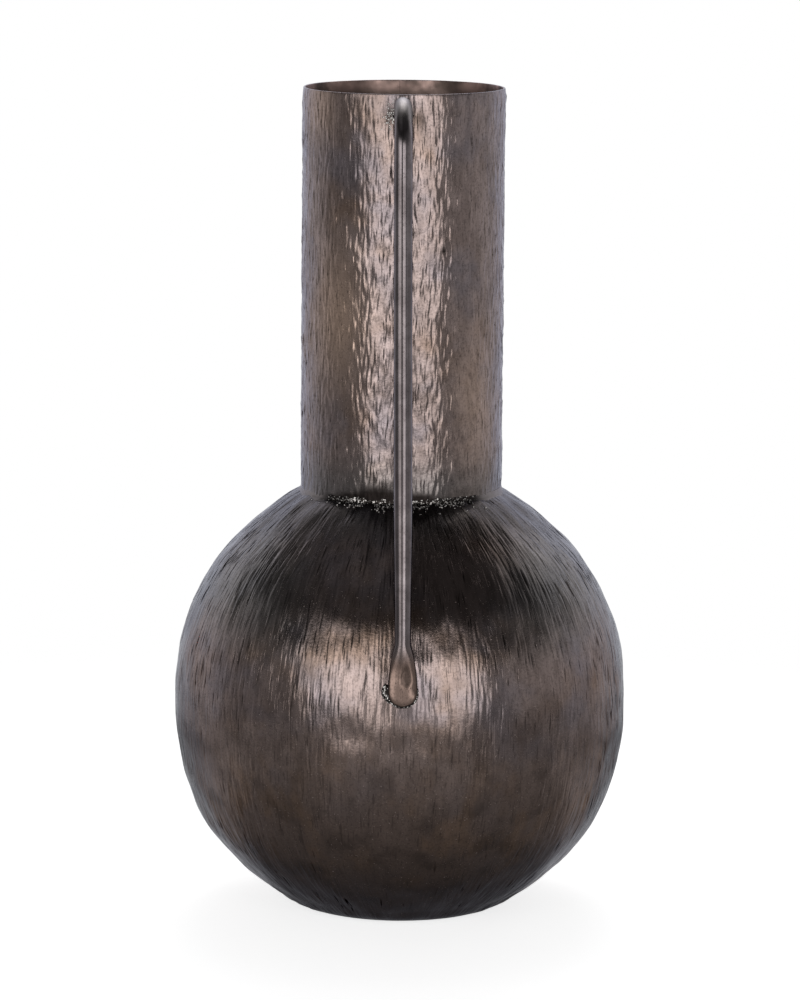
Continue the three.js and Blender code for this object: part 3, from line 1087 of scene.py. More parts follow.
@dataclass
class Neck:
    """Sheet rolled into a tube, with a butt weld down the back."""

    finishes: Finishes
    sheet: float = 1 * MM
    edge: float = 0.35 * MM
    sink: float = 0.7 * MM
    slit: float = 2.2 * MM
    seam_proud: float = 0.6 * MM
    seam_marks: float = 0.3
    seam_columns: int = 4
    columns: int = 760
    crowd: float = 0.3
    rows: int = 108
    inner_rows: int = 6
    edge_rows: int = 3
    rim_fade: float = 3 * MM
    chiselled: float = 0.2
    crease_share: float = 0.5
    soot_height: float = 3 * MM
    soot_span: float = 0.75
    soot_edge: Point = (0.4, 1.0)
    soot_ahead: Point = (0.1, 0.5)
    smoke_height: float = 6 * MM
    smoke_at: float = math.radians(-106)
    smoke_span: float = 0.4
    ragged: float = 12
    streak: Size = (0.2, -15, 7)
    streak_ends: Point = (25, 60)

    def __post_init__(self) -> None:
        """Takes the neck's place and size from the frame, and strikes its marks."""
        low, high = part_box("neck_sheet")
        self.radius = round(high.x / MM, 1) * MM
        self.seat = low.z
        self.rim = high.z
        self.gap = self.slit / self.radius
        self.marks = HammerMarks(
            seed=5,
            low=-self.sink,
            high=self.rim - self.seat,
            girth=lambda along: np.full(along.shape, self.radius),
            half_width=mm(0.55, 1.5),
            half_length=mm(1.8, 4.5),
            cover=3.0,
            cant=0.095,
            depth=0.12 * MM,
            sway=0.09 * MM,
            tilt=0.12,
            rake=0.045,
        )
        self.facets = self.marks.facets()
        self.creases = self.marks.creases(self.facets)
        self.sway = self.marks.undulation(len(self.facets))

    def tube(self, name: str, inner: float) -> Outline:
        """Draws the neck's wall with a rounded rim.

        Args:
            name: name of the piece.
            inner: inside radius.

        Returns:
            The closed section.
        """
        low = self.seat - self.sink
        shoulder = self.rim - self.edge
        outline = Outline(name, (self.radius, low))
        outline.line((self.radius, shoulder), self.rows)
        outline.arc((self.radius - self.edge, shoulder), math.pi / 2, self.edge_rows)
        outline.line((inner + self.edge, self.rim))
        outline.arc((inner + self.edge, shoulder), math.pi / 2, self.edge_rows)
        outline.line((inner, low), self.inner_rows)
        outline.line((self.radius, low))
        return outline

    def hammer(self, piece: Piece, share: float) -> None:
        """Raises the marks on a piece of the neck, and stores them for the finish.

        Args:
            piece: sheet or seam, as spun.
            share: how much of the facets is left on it.
        """
        points = points_of(piece)
        radial, azimuth = crowded(points, self.crowd)
        along = points[:, 2] - self.seat
        facets = self.marks.sample(self.facets, azimuth, along) * share
        sway = self.marks.sample(self.sway, azimuth, along)
        rim = smoothstep(0, self.rim_fade, self.rim - points[:, 2])
        outer = radial > self.radius - 0.5 * self.sheet
        points = polar(radial + sway + np.where(outer, facets * rim, 0), azimuth, points[:, 2])
        set_points(piece, points)
        set_mark(piece, Mark.GRAIN, polar(self.radius, azimuth, along))
        creases = self.marks.sample(self.creases, azimuth, along)
        set_mark(piece, Mark.CREASE, creases * share * self.crease_share)
        set_mark(piece, Mark.HAMMERED, np.full(len(points), self.chiselled))
        smoke = bell(self.smoke_at, self.smoke_span, azimuth)
        front = bell(FRONT, self.soot_span, azimuth)
        reach = self.soot_height * front + self.smoke_height * smoke + self.ragged * sway * front
        soot = 1 - smoothstep(*self.soot_edge, along / np.maximum(reach, MM))
        soot *= smoothstep(*self.soot_ahead, front)
        self.stain(piece, points, soot)

    def stain(self, piece: Piece, points: np.ndarray, soot: np.ndarray) -> None:
        """Scorches the front of the neck and rubs it thin in places.

        Args:
            piece: sheet or seam.
            points: its points, as hammered.
            soot: soot from the weld at its foot.
        """
        across, down = points[:, 0] / MM, (self.rim - points[:, 2]) / MM
        ahead = points[:, 1] < 0
        share, middle, reach = self.streak
        streak = share * bell(middle, reach, across) * (1 - smoothstep(*self.streak_ends, down))
        scorch = sum(spot.on(across, down) for spot in SCORCHED) + streak
        set_mark(piece, Mark.SOOT_AND_SHADE, np.clip(soot + scorch * ahead, 0, 1))
        set_mark(piece, Mark.CRUST, sum(spot.on(across, down) for spot in RUBBED) * ahead)

    def build(self) -> None:
        """Makes the tube and its seam and dresses them."""
        back = TURN / 4
        bore = self.radius - self.sheet
        sheet = self.tube("neck_hammered", bore)
        sheet = sheet.spin(self.columns, TURN - self.gap, back + self.gap / 2)
        self.hammer(sheet, 1.0)
        seam = self.tube("neck_seam_ground", bore - self.seam_proud)
        seam = seam.spin(self.seam_columns, self.gap, back - self.gap / 2)
        self.hammer(seam, self.seam_marks)
        for piece, slot, node in ((sheet, Slot.SHEET, "neck_sheet"), (seam, Slot.WELD, "neck_seam_weld")):
            middles, normals = face_normals(piece)
            outward = np.sum(middles[:, :2] * normals[:, :2], 1) / self.radius
            dress_sheet(piece, self.finishes, outward)
            settle(piece, slot, [node])


@dataclass
class Handle:
    """One rod: welded to the neck, bent down, drawn thinner and hammered flat on the ball."""

    finishes: Finishes
    body: Body
    neck: Neck
    rod: float = 4 * MM
    joint_gap: float = 0.3 * MM
    root_drop: float = 5 * MM
    run: float = 2 * MM
    bend: float = 19 * MM
    waist: float = 3.65 * MM
    drawn: float = 58 * MM
    paddle: float = 27 * MM
    half_width: float = 6.4 * MM
    half_thickness: float = 2 * MM
    tip: float = 6 * MM
    wrap: float = 4 * MM
    flat_share: float = 0.3
    flat_from: float = 0.35
    tip_thin: float = 0.75
    squareness: float = 3.0
    oval: float = 0.055
    oval_at: float = math.radians(-45)
    skew: float = -0.9 * MM
    sides: int = 64
    bend_steps: int = 28
    rings: tuple[int, int, int, int] = (9, 14, 30, 12)
    seed: int = 23
    dimple_at: Point = mm(1.4, 13.5)
    dimple_ends: Point = mm(9, 18)
    dimple_widths: Point = mm(3.0, 1.2)
    dimple_length: float = 4.6 * MM
    dimple_depth: float = 0.6 * MM
    dimple_soot: float = 0.7
    bevel_across: Point = mm(2.2, 6.4)
    bevel_up: Point = mm(3, 9)
    bevel_depth: float = 0.9 * MM
    blows: int = 26
    blow_across: Point = mm(-5, 5)
    blow_up: Point = mm(1, 24)
    blow_size: Point = mm(1.0, 2.4)
    blow_stretch: float = 1.5
    blow_depth: Point = mm(0.03, 0.11)
    coppery: Point = (0.6, 1.1)
    dull_bend_and_highlight: Point = mm(-20, -4)
    tip_soot: float = 2.2 * MM
    edge_shade: float = 0.8
    edge_span: Point = (0.8, 1.0)
    soot_and_shade_rise: float = 1.2 * MM
    shade: float = 0.36
    shade_fade: float = 15 * MM
    shade_left: Size = (0.24, -20, 13)
    painted_highlight: Size = (0.36, 12, 11)

    def __post_init__(self) -> None:
        """Works out where the rod bends and how it leans to touch the ball."""
        self.root_z = self.neck.rim - self.root_drop
        self.root_start = self.neck.radius + self.joint_gap
        self.bend_out = self.root_start + self.run
        self.bend_z = self.root_z - self.bend
        foot = self.body.radius + self.joint_gap + self.half_thickness
        up = self.bend_z - self.body.upper_centre
        reach = math.hypot(self.bend_out, up)
        self.lean = math.asin((foot - self.bend) / reach) - math.atan2(self.bend_out, up)
        self.length = math.sqrt(reach**2 - (foot - self.bend) ** 2) + self.wrap
        c, s = math.cos(self.lean), math.sin(self.lean)
        self.bend_end = Vector((0, -self.bend_out - self.bend * c, self.bend_z + self.bend * s))
        self.out = Vector((0, -c, s))
        self.down = Vector((0, -s, -c))

    def section(self, from_tip: float) -> Point:
        """Works out the rod's section.

        Args:
            from_tip: distance from the tip.

        Returns:
            Half width and half thickness there.
        """
        if from_tip >= self.paddle:
            grow = float(smoothstep(self.paddle, self.paddle + self.drawn, np.float64(from_tip)))
            radius = self.waist + (self.rod - self.waist) * grow
            return radius, radius
        up = max(0.0, (from_tip - self.tip) / (self.paddle - self.tip))
        close = max(0.0, 1 - from_tip / self.tip)
        width = self.half_width + (self.waist - self.half_width) * up**2
        swell = float(smoothstep(self.flat_share, 1, np.float64(up)))
        thickness = self.half_thickness + (self.waist - self.half_thickness) * swell
        return width * math.sqrt(1 - close**2), thickness * math.sqrt(1 - self.tip_thin * close**3)

    def stations(self) -> list[float]:
        """Sets out the rings below the bend, close together where the section changes.

        Returns:
            Distances from the tip, from the top down.
        """
        ends = (self.length, self.paddle + self.drawn, self.paddle, self.tip)
        spans = zip(ends, ends[1:], self.rings)
        straight = [at for span in spans for at in np.linspace(*span)[1:]]
        close = np.linspace(0, math.pi / 2, self.rings[-1])[1:-1]
        return [*straight, *(self.tip * (1 - np.sin(close)))]

    def forge(self) -> Piece:
        """Extrudes the rod out of the neck, spins its bend and draws it down to the paddle.

        Returns:
            The closed rod.
        """
        deselect()
        place = (0, -self.root_start + 2 * self.joint_gap, self.root_z)
        bpy.ops.mesh.primitive_circle_add(
            vertices=self.sides,
            radius=self.rod,
            fill_type="NGON",
            location=place,
            rotation=(math.pi / 2, 0, 0),
        )
        piece = named("handle_forged")
        bpy.ops.object.transform_apply(location=True, rotation=True)
        bpy.ops.object.mode_set(mode="EDIT")
        bpy.ops.mesh.select_mode(type="FACE")
        bpy.ops.mesh.select_all(action="SELECT")
        out = -self.bend_out - place[1]
        bpy.ops.mesh.extrude_region_move(TRANSFORM_OT_translate={"value": (0, out, 0)})
        bpy.ops.mesh.spin(
            steps=self.bend_steps,
            angle=math.pi / 2 - self.lean,
            center=(0, -self.bend_out, self.bend_z),
            axis=(-1, 0, 0),
        )
        self.turn_upright(piece, 1)
        at = self.bend_end.copy()
        width, thickness = self.section(self.length)
        before = self.length
        for station in self.stations():
            step = Vector((0, 0, station - before))
            at += step
            bpy.ops.mesh.extrude_region_move(TRANSFORM_OT_translate={"value": step})
            wide, thick = self.section(station)
            bpy.ops.transform.resize(value=(wide / width, thick / thickness, 1), center_override=at)
            width, thickness, before = wide, thick, station
        self.turn_upright(piece, -1)
        bpy.ops.mesh.select_all(action="SELECT")
        bpy.ops.mesh.remove_doubles(threshold=MERGE)
        bpy.ops.mesh.fill_holes(sides=0)
        bpy.ops.mesh.select_all(action="SELECT")
        bpy.ops.mesh.normals_make_consistent(inside=False)
        bpy.ops.object.mode_set(mode="OBJECT")
        return piece

    def turn_upright(self, piece: Piece, way: int) -> None:
        """Turns the rod about its bend's end, and selects its end face again.

        Args:
            piece: rod in the making.
            way: 1 stands its straight part upright, -1 leans it back.
        """
        bpy.ops.mesh.select_all(action="SELECT")
        bpy.ops.transform.rotate(value=-way * self.lean, orient_axis="X", center_override=self.bend_end)
        bpy.ops.mesh.select_all(action="DESELECT")
        bpy.ops.object.mode_set(mode="OBJECT")
        ends = [face for face in piece.data.polygons if len(face.vertices) == self.sides]
        min(ends, key=lambda face: face.center.z).select = True
        bpy.ops.object.mode_set(mode="EDIT")

    def unroll(self, points: np.ndarray) -> tuple[np.ndarray, np.ndarray, np.ndarray]:
        """Lays the rod out straight.

        Args:
            points: rows of x, y and z.

        Returns:
            For each point, its distance across, out from the vase, and down from the bend.
        """
        from_bend = points - np.array(self.bend_end)
        out = from_bend @ np.array(self.out)
        down = from_bend @ np.array(self.down)
        y, z = points[:, 1] + self.bend_out, points[:, 2] - self.bend_z
        curved = down < 0
        out = np.where(curved, np.hypot(y, z) - self.bend, out)
        down = np.where(curved, self.bend * (np.arctan2(-y, z) + self.lean - math.pi / 2), down)
        root = curved & (y > 0)
        out = np.where(root, z - self.bend, out)
        down = np.where(root, self.bend * (self.lean - math.pi / 2) - y, down)
        return points[:, 0].copy(), out, down

    def dents(self, across: np.ndarray, from_tip: np.ndarray) -> tuple[np.ndarray, np.ndarray]:
        """Beats the paddle's face: a dimple, a bevel on its right and a scatter of small blows.

        Args:
            across: distance of each point across the rod.
            from_tip: distance of each point from the tip.

        Returns:
            Depth of the dents, and the dimple's share in them.
        """
        rng = np.random.default_rng(self.seed)
        spread = np.interp(from_tip, self.dimple_ends, self.dimple_widths)
        away = ((across - self.dimple_at[0]) / spread) ** 2
        away += ((from_tip - self.dimple_at[1]) / self.dimple_length) ** 2
        dimple = np.exp(-(away**3))
        bevel = smoothstep(*self.bevel_across, across) * smoothstep(*self.bevel_up, from_tip)
        dent = self.dimple_depth * dimple + self.bevel_depth * bevel
        for _ in range(self.blows):
            middle = rng.uniform(*self.blow_across), rng.uniform(*self.blow_up)
            size = rng.uniform(*self.blow_size)
            spot = bell(middle[0], size, across) * bell(middle[1], self.blow_stretch * size, from_tip)
            dent += rng.uniform(*self.blow_depth) * spot
        return dent, dimple

    def shading(self, across: np.ndarray, out: np.ndarray, down: np.ndarray) -> np.ndarray:
        """Paints shade along the rod, most on its left, and takes it off a band on its right as a painted
        highlight.

        Args:
            across: distance of each point across the rod.
            out: distance of each point out from the vase.
            down: distance of each point down from the bend.

        Returns:
            Share of the painted shade.
        """
        # The bands follow the rod's reflections: painted shade on the left one, a painted highlight on the
        # right one.
        turned = np.degrees(np.arctan2(across, out))
        left = self.shade_left[0] * bell(*self.shade_left[1:], turned)
        rubbed = self.painted_highlight[0] * bell(*self.painted_highlight[1:], turned)
        return (self.shade + left - rubbed) * smoothstep(0, self.shade_fade, down)

    def hammer(self, piece: Piece) -> None:
        """Squares the paddle's section, dents its face and stores the rod's marks.

        Args:
            piece: rod as forged.
        """
        points = points_of(piece)
        across, out, down = self.unroll(points)
        from_tip = self.length - down
        paddle = 1 - smoothstep(self.flat_from, 1, from_tip / self.paddle)
        half = np.array([self.section(max(t, 0.01 * MM))[0] for t in from_tip])
        side = np.clip(np.abs(across) / half, 0, 0.999)
        square = (1 - side**self.squareness) ** (1 / self.squareness) / np.sqrt(1 - side**2)
        oval = self.oval * np.cos(2 * (np.arctan2(across, out) - self.oval_at)) * (1 - paddle)
        dent, dimple = self.dents(across, from_tip)
        face = (out > 0) * paddle
        lift = out * ((square - 1) * paddle + oval) - dent * face
        points += lift[:, None] * np.array(self.out)
        upright = smoothstep(self.body.upper_centre, self.root_z, points[:, 2])
        points[:, 0] += across * oval + self.skew * upright
        set_points(piece, points)
        # The marks are laid from the vase's middle, so the rod's run to one side counts in them.
        across = points[:, 0]
        set_mark(piece, Mark.GRAIN, np.stack([across, out, down], 1))
        set_mark(piece, Mark.HAMMERED, 1 - smoothstep(*self.coppery, from_tip / self.paddle))
        # The bend is rougher, and painted lighter as a highlight.
        set_mark(piece, Mark.CRUST, 1 - smoothstep(*self.dull_bend_and_highlight, down))
        # Soot from the weld near the tip; along the paddle's edges on the ball's side, painted shade of the
        # gap between paddle and ball.
        near_tip = 1 - smoothstep(0, self.tip_soot, from_tip)
        edge = self.edge_shade * smoothstep(*self.edge_span, side) * paddle
        soot = np.clip(near_tip + edge, 0, 1) * (out < self.soot_and_shade_rise)
        # The rod's shading paints shade, and a highlight band, where its reflections fall.
        soot += self.shading(across, out, down) * (1 - paddle) + self.dimple_soot * dimple * face
        set_mark(piece, Mark.SOOT_AND_SHADE, np.clip(soot, 0, 1))

    def build(self) -> None:
        """Makes the rod and dresses it."""
        piece = self.forge()
        self.hammer(piece)
        piece.data.materials.append(self.finishes.rod)
        settle(piece, Slot.ROD, ["handle"])


@dataclass(frozen=True)
class Pool:
    """A pool of weld metal at the handle's foot: its place across and up, its half size and crust."""

    at: Point
    size: Size
    crust: float


@dataclass
class Welds:
    """Welds that show: round the neck's foot and at both ends of the handle."""

    finishes: Finishes
    body: Body
    neck: Neck
    handle: Handle
    bead: float = 2.2 * MM
    bead_inside: float = 0.3 * MM
    bead_under: float = 0.4 * MM
    bead_hollow: Point = (0.34, 0.5)
    bead_lip: Point = mm(0.1, 0.2)
    bead_lumps: tuple[Point, Point] = (mm(3.2, 1.0), mm(0.9, 0.5))
    bead_crust: float = 0.42
    bead_rows: int = 3
    sharp: float = 60
    ground_share: float = 0.15
    side_share: float = 0.9
    crust_span: Point = (0.55, 1.05)
    columns: int = 720
    drops: int = 150
    drop_spread: float = 0.42
    drop_reach: Point = (0.3, 0.7)
    drop_detail: int = 2
    drop_flat: float = 0.6
    drop_uneven: Point = (0.8, 1.2)
    drop_size: Point = mm(0.12, 0.5)
    pool_detail: int = 5
    pool_sink: float = 0.35 * MM
    pool_lumps: tuple[Point, Point] = ((1.8 * MM, 0.6), (0.7 * MM, 0.3))
    root_size: Size = mm(4.6, 3.6, 1.5)
    root_below: float = 3.6 * MM
    root_sink: float = 0.1 * MM
    root_drops: int = 90
    root_across: Point = mm(-6.4, 1.9)
    root_rise: Point = mm(-4.4, 3.4)
    root_top: float = 2.5 * MM
    root_drop_size: Point = mm(0.18, 0.5)
    foot_pools: tuple[Pool, ...] = (
        Pool(mm(0, 5.8), mm(7.0, 6.5, 0.5), 0.42),
        Pool(mm(-7.0, 6.4), mm(2.2, 3.4, 1.0), 0.45),
        Pool(mm(-5.4, 3.4), mm(2.0, 2.0, 0.9), 0.45),
    )
    seed: int = 41

    def surface(self, azimuth: float, radius: float) -> Vector:
        """Point of the ball at an azimuth and a distance from the axis."""
        rise = math.sqrt(self.body.radius**2 - radius**2)
        return Vector((radius * math.cos(azimuth), radius * math.sin(azimuth), self.body.upper_centre + rise))

    def on_neck(self, across: float, height: float, radius: float) -> Vector:
        """Point on the front of the neck at a distance across and a height."""
        return Vector((across, -math.sqrt(radius**2 - across**2), height))

    def neck_bead(self) -> Piece:
        """Spins the fillet between neck and ball: lumpy in front, ground at the sides, with spatter.

        Returns:
            The bead and its drops.
        """
        neck = self.neck.radius
        foot = self.surface(0, neck + self.bead)
        corner = self.surface(0, neck - self.bead_inside)
        top = corner.z + self.bead
        under = (corner.x, corner.z - self.bead_under)
        outline = Outline("neck_weld_bead", under)
        outline.line((foot.x, foot.z - self.bead_inside))
        hollow = [share * self.bead for share in self.bead_hollow]
        outline.line((neck + hollow[0], foot.z + hollow[1]), self.bead_rows)
        outline.line((neck + self.bead_lip[0], top), self.bead_rows)
        outline.line((corner.x, top - self.bead_lip[1]))
        outline.line(under)
        piece = outline.spin(self.columns)
        smooth = points_of(piece)
        for size, height in self.bead_lumps:
            roughen(piece, size, height)
        azimuth = np.arctan2(smooth[:, 1], smooth[:, 0])
        crust = 1 - smoothstep(*self.crust_span, np.abs(azimuth - FRONT))
        lumpy = self.ground_share + (1 - self.ground_share) * crust
        shape = smooth + (points_of(piece) - smooth) * lumpy[:, None]
        edge = polar(corner.x, azimuth, np.full(len(shape), corner.z))
        full = self.side_share + (1 - self.side_share) * crust
        set_points(piece, edge + (shape - edge) * full[:, None])
        set_mark(piece, Mark.CRUST, self.bead_crust * crust)
        rng = np.random.default_rng(self.seed)
        azimuths = rng.normal(FRONT, self.drop_spread, self.drops)
        away = neck + self.bead * (self.drop_reach[0] + rng.exponential(self.drop_reach[1], self.drops))
        spots = [self.surface(a, r) for a, r in zip(azimuths, away)]
        outward = [spot - Vector((0, 0, self.body.upper_centre)) for spot in spots]
        return self.joined("neck_weld_bead", [piece, *self.spatter(spots, outward, self.drop_size)])

    def spatter(self, spots: Sequence[Vector], outward: Sequence[Vector], size: Point) -> list[Piece]:
        """Models one drop of weld metal and sets copies of it, each with its own mesh.

        Args:
            spots: where the drops lie.
            outward: direction out of the sheet at each spot.
            size: smallest and largest radius.

        Returns:
            The drops.
        """
        rng = np.random.default_rng(self.seed + len(spots))
        deselect()
        bpy.ops.mesh.primitive_ico_sphere_add(subdivisions=self.drop_detail, radius=1)
        first = named("spatter")
        bpy.ops.object.mode_set(mode="EDIT")
        bpy.ops.transform.resize(value=(1, 1, self.drop_flat))
        bpy.ops.object.mode_set(mode="OBJECT")
        base = points_of(first)
        set_mark(first, Mark.CRUST, np.ones(len(base)))
        drops = []
        for spot, out in zip(spots, outward):
            lift = np.array(out.to_track_quat("Z", "Y").to_matrix())
            drop = first.copy()
            drop.data = first.data.copy()
            bpy.context.collection.objects.link(drop)
            shape = base * rng.uniform(*size) * rng.uniform(*self.drop_uneven, 3)
            set_points(drop, shape @ lift.T + np.array(spot))
            drops.append(drop)
        bpy.data.objects.remove(first)
        return drops

    def pool(self, name: str, size: Size, place: Vector, out: Vector, crust: float) -> Piece:
        """Flattens a ball into a pool of weld metal.

        Args:
            name: name of the piece.
            size: half width, half length and height.
            place: middle of the pool.
            out: direction in which it stands proud.
            crust: share of bright grains in it.

        Returns:
            The pool, in place.
        """
        deselect()
        bpy.ops.mesh.primitive_ico_sphere_add(subdivisions=self.pool_detail, radius=1)
        piece = named(name)
        turn = np.array(out.to_track_quat("Z", "Y").to_matrix())
        set_points(piece, points_of(piece) * np.array(size) @ turn.T + np.array(place))
        for lump, share in self.pool_lumps:
            roughen(piece, lump, share * size[2])
        points = points_of(piece)
        sunk = np.minimum((points - np.array(place)) @ np.array(out) + self.pool_sink, 0)
        set_points(piece, points - sunk[:, None] * np.array(out))
        set_mark(piece, Mark.CRUST, np.full(len(points), crust))
        return piece

    def joined(self, name: str, parts: list[Piece]) -> Piece:
        """Joins the pieces of one weld.

        Args:
            name: name of the weld.
            parts: pieces to join.

        Returns:
            The weld.
        """
        activate(parts[0])
        for part in parts:
            part.select_set(True)
        bpy.ops.object.join()
        return named(name)

    def root_parts(self) -> list[Piece]:
        """Makes the pool under the handle's root and the spatter on its left.

        Returns:
            The pool and its drops.
        """
        handle = self.handle
        place = self.on_neck(handle.skew, handle.root_z - self.root_below, self.neck.radius - self.root_sink)
        pool = self.pool("root_pool", self.root_size, place, Vector((0, -1, 0)), self.bead_crust)
        rng = np.random.default_rng(self.seed + 1)
        across = rng.normal(*self.root_across, self.root_drops)
        rise = rng.normal(*self.root_rise, self.root_drops)
        spots = [
            self.on_neck(a, handle.root_z + r, self.neck.radius)
            for a, r in zip(across, rise)
            if r < self.root_top
        ]
        outward = [Vector((spot.x, spot.y, 0)) for spot in spots]
        return [pool, *self.spatter(spots, outward, self.root_drop_size)]

    def foot_parts(self) -> list[Piece]:
        """Makes the pools under the paddle and at its left edge.

        Returns:
            The pools.
        """
        handle = self.handle
        foot = handle.bend_end + handle.down * handle.length - handle.out * handle.half_thickness
        parts = []
        for pool in self.foot_pools:
            place = foot - handle.down * pool.at[1] + Vector((pool.at[0], 0, 0))
            parts.append(self.pool("foot_pool", pool.size, place, handle.out, pool.crust))
        return parts

    def build(self) -> None:
        """Makes the welds and dresses them, with the two that stay solids."""
        root, toes = self.root_parts(), self.foot_parts()
        pieces = {
            "neck_weld": self.neck_bead(),
            "handle_root_weld": self.joined("handle_root_weld_pool", root),
            "handle_foot_weld": self.joined("handle_foot_weld_pool", toes),
        }
        for node, piece in pieces.items():
            piece.data.materials.append(self.finishes.weld)
            settle(piece, Slot.WELD, [node], self.sharp)
        for node in ("base_weld", "equator_weld"):
            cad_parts[node].material_slots[0].material = self.finishes.weld
            LOG.info("%s: kept as a solid, with weld metal", node)


@dataclass(frozen=True)
class SoftBox:
    """A lamp that faces the vase: degrees right of the camera and up, size and brightness."""

    name: str
    azimuth: float
    elevation: float
    size: Point
    level: float


SOFT_BOXES = (
    SoftBox("soft_box_left", -24.8, 9.0, (1.0, 1.38), 2.35),
    SoftBox("soft_box_left_wing", -47.5, 16.5, (0.5, 0.88), 1.25),
    SoftBox("soft_box_right", 23.8, 6.0, (1.02, 1.24), 2.0),
    SoftBox("soft_box_right_wing", 12, 19.5, (0.36, 0.52), 1.5),
    SoftBox("soft_box_right_back", 120, 37, (1.1, 0.9), 0.32),
    SoftBox("soft_box_far_right", 77, 3, (1.9, 1.0), 0.23),
    SoftBox("soft_box_low", 0, -6, (1.1, 0.7), 0.4),
    SoftBox("soft_box_top", 176, 54, (1.1, 1.4), 2.7),
)

# The floor is matt and pale. In the metal it looks darker at both sides and lighter behind.
FLOOR_LIGHT: Recipes = {
    "dim": Mixture(
        (
            Mask("away", 0.09, 0.16, smooth=False),
            Mask("glossy"),
            Mask("beside", 0.18, 0.45, 0.0, 0.38),
        )
    ),
    "paint": Mixture((Mask("dim", 0.0, 1.0, 0.0, 0.66, smooth=False),)),
    "behind": Mixture((Mask("turn", -0.4, 0.2), Mask("away", 0.2, 0.35, 0.0, 0.4, smooth=False))),
    "lit": Mixture((Mask("depth", 0.1, -0.25, 0.17, 0.08, smooth=False), Mask("behind")), Join.SUM),
    "shine": Mixture((Mask("glossy"), Mask("lit"))),
    "glow": Mixture((Mask("camera", 0.0, 1.0, 0.77, smooth=False), Mask("shine")), Join.SUM),
}

# Round the vase it is white behind, dim at the sides and dark overhead, a little less on the left.
WORLD_LIGHT: Recipes = {
    "above": Mixture((Mask("Z", 0.08, 0.68), Mask("Y", 0.8, 0.3))),
    "open": Mixture((Mask("Z", 0.65, 0.95, smooth=False), Mask("X", 0.1, -0.25, 0.1, smooth=False))),
    "behind": Mixture((Mask("Y", -0.2, 1.0, 1.0, 0.28),)),
    "overhead": Mixture((Mask("open", 0.0, 1.0, 1.045, 0.045, smooth=False),)),
}


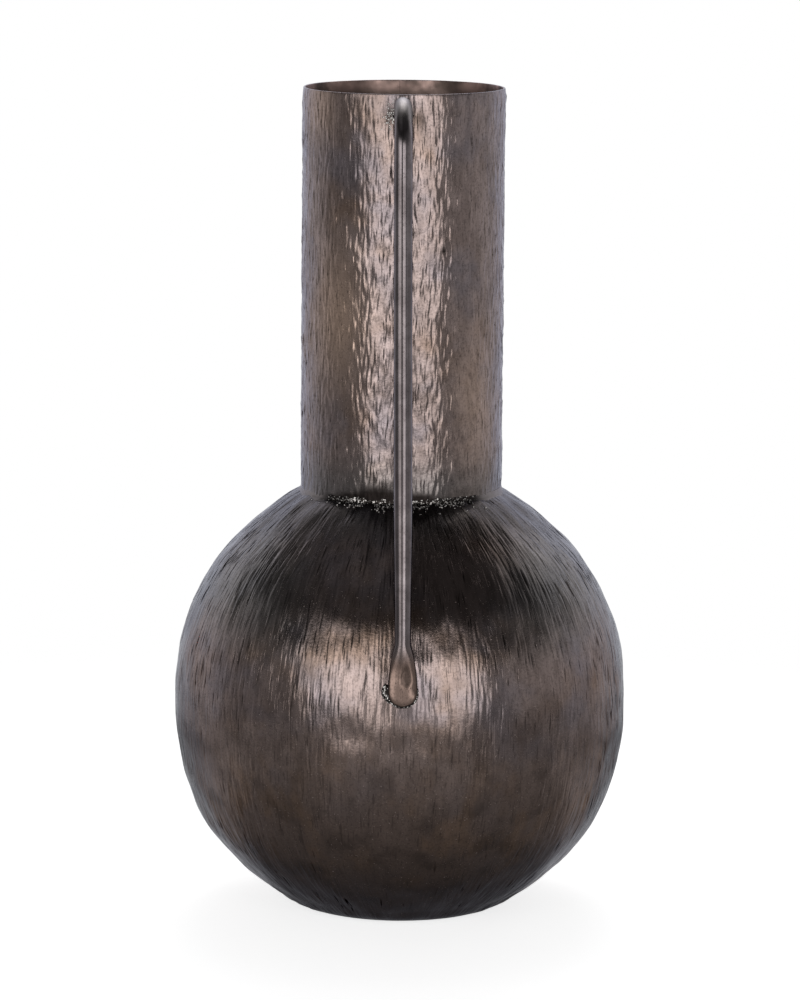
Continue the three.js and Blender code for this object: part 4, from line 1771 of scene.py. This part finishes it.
@dataclass
class Studio:
    """Pale floor, a bright surround, soft boxes round the vase, and the camera."""

    floor_radius: float = 0.6
    floor_sides: int = 96
    floor_clear: float = 0.3
    floor_side: float = 0.55
    distance: float = 1.4
    aim: float = 0.2
    softness: Point = (0.3, 0.35)
    lens: float = 165.9
    camera_place: Size = (-0.0005, -2.0514, 0.5216)
    camera_pitch: float = 0.1631
    camera_turn: float = math.radians(-0.7)
    camera_roll: float = math.radians(0.42)
    white: str = "#ffffff"
    surround: str = "#fbfbfe"

    def floor(self) -> None:
        """Lays a pale floor that fades out into the white round it and keeps the shadow."""
        deselect()
        bpy.ops.mesh.primitive_circle_add(
            vertices=self.floor_sides, radius=self.floor_radius, fill_type="NGON"
        )
        floor = named("floor")
        material = bpy.data.materials.new("pale_floor")
        graph = Graph(material, FLOOR_LIGHT)
        place = graph.add("TexCoord")["Object"]
        away = graph.add("VectorMath", {0: place}, operation="LENGTH")["Value"]
        depth = graph.add("SeparateXYZ", {"Vector": place})["Y"]
        turn = graph.add("Math", {0: depth, 1: away}, operation="DIVIDE")["Value"]
        beside = graph.add("Math", {0: turn, 1: self.floor_side}, operation="ADD")["Value"]
        beside = graph.add("Math", {0: beside}, operation="ABSOLUTE")["Value"]
        path = graph.add("LightPath")
        graph.sockets = {"away": away, "depth": depth, "turn": turn, "beside": beside}
        graph.sockets |= {"glossy": path["Is Glossy Ray"], "camera": path["Is Camera Ray"]}
        paint = graph.add("BsdfDiffuse", {"Color": graph.socket("paint")})["BSDF"]
        glow = graph.add("Emission", {"Color": linear(self.white), "Strength": graph.socket("glow")})
        lit = graph.add("AddShader", {0: paint, 1: glow["Emission"]})["Shader"]
        clear = graph.add("BsdfTransparent")["BSDF"]
        fade = graph.share([Mask("away", self.floor_clear, self.floor_radius)])
        mixed = graph.add("MixShader", {0: fade, 1: lit, 2: clear})["Shader"]
        graph.add("OutputMaterial", {"Surface": mixed})
        floor.data.materials.append(material)

    def world(self) -> None:
        """Surrounds the vase with light. The camera sees plain white."""
        world = bpy.data.worlds.new("studio")
        bpy.context.scene.world = world
        graph = Graph(world, WORLD_LIGHT)
        axes = graph.add("SeparateXYZ", {"Vector": graph.add("TexCoord")["Generated"]})
        graph.sockets = {axis: axes[axis] for axis in "XYZ"}
        above, behind, overhead = (graph.socket(name) for name in ("above", "behind", "overhead"))
        seen = graph.add("LightPath")["Is Camera Ray"]
        level = graph.add("Mix", {0: above, 2: behind, 3: overhead})[0]
        level = graph.add("Mix", {0: seen, 2: level, 3: 1.0})[0]
        tints = {0: seen, MIX_A: linear(self.surround), MIX_B: linear(self.white)}
        tint = graph.add("Mix", tints, data_type="RGBA")[MIX_OUT]
        light = graph.add("Background", {"Color": tint, "Strength": level})["Background"]
        graph.add("OutputWorld", {"Surface": light})

    def soft_box(self, box: SoftBox) -> None:
        """Hangs a soft box whose face fades towards its edges.

        Args:
            box: what to hang, and where.
        """
        a, e = math.radians(box.azimuth), math.radians(box.elevation)
        away = Vector((math.sin(a) * math.cos(e), -math.cos(a) * math.cos(e), math.sin(e)))
        data = bpy.data.lights.new(box.name, "AREA")
        data.shape = "RECTANGLE"
        data.size, data.size_y = box.size
        data.energy = box.level * math.pi * box.size[0] * box.size[1]
        graph = Graph(data, {})
        sides = graph.add("SeparateXYZ", {"Vector": graph.add("NewGeometry")["Parametric"]})
        for side in "XY":
            graph.sockets[side] = graph.add("Math", {0: sides[side], 1: 0.5}, operation="PINGPONG")["Value"]
        shape = graph.share([Mask(side, 0.0, soft) for side, soft in zip("XY", self.softness)])
        glow = graph.add("Emission", {"Strength": shape})["Emission"]
        graph.add("OutputLight", {"Surface": glow})
        lamp = bpy.data.objects.new(box.name, data)
        bpy.context.collection.objects.link(lamp)
        lamp.location = Vector((0, 0, self.aim)) + away * self.distance
        lamp.rotation_euler = (-away).to_track_quat("-Z", "Y").to_euler()
        lamp.visible_camera = False

    def camera(self) -> None:
        """Places the camera a little above the rim, looking down at the ball."""
        data = bpy.data.cameras.new("camera")
        data.lens = self.lens
        camera = bpy.data.objects.new("camera", data)
        bpy.context.collection.objects.link(camera)
        turn = Matrix.Rotation(self.camera_turn, 3, "Z")
        pitch = Matrix.Rotation(math.pi / 2 - self.camera_pitch, 3, "X")
        camera.location = turn @ Vector(self.camera_place)
        camera.rotation_euler = (turn @ pitch @ Matrix.Rotation(self.camera_roll, 3, "Z")).to_euler()
        bpy.context.scene.camera = camera

    def build(self) -> None:
        """Sets up the floor, light and camera."""
        self.camera()
        self.floor()
        self.world()
        for box in SOFT_BOXES:
            self.soft_box(box)
        bpy.context.scene.view_settings.view_transform = "Standard"
        LOG.info("studio: floor, %d soft boxes and camera", len(SOFT_BOXES))


def main() -> None:
    """Builds the studio and the vase in order."""
    logging.basicConfig(level=logging.INFO, format="%(name)s: %(message)s")
    Studio().build()
    finishes = Finishes.make()
    body = Body(finishes)
    body.build()
    neck = Neck(finishes)
    neck.build()
    handle = Handle(finishes, body, neck)
    handle.build()
    Welds(finishes, body, neck, handle).build()


if __name__ == "__main__":
    main()
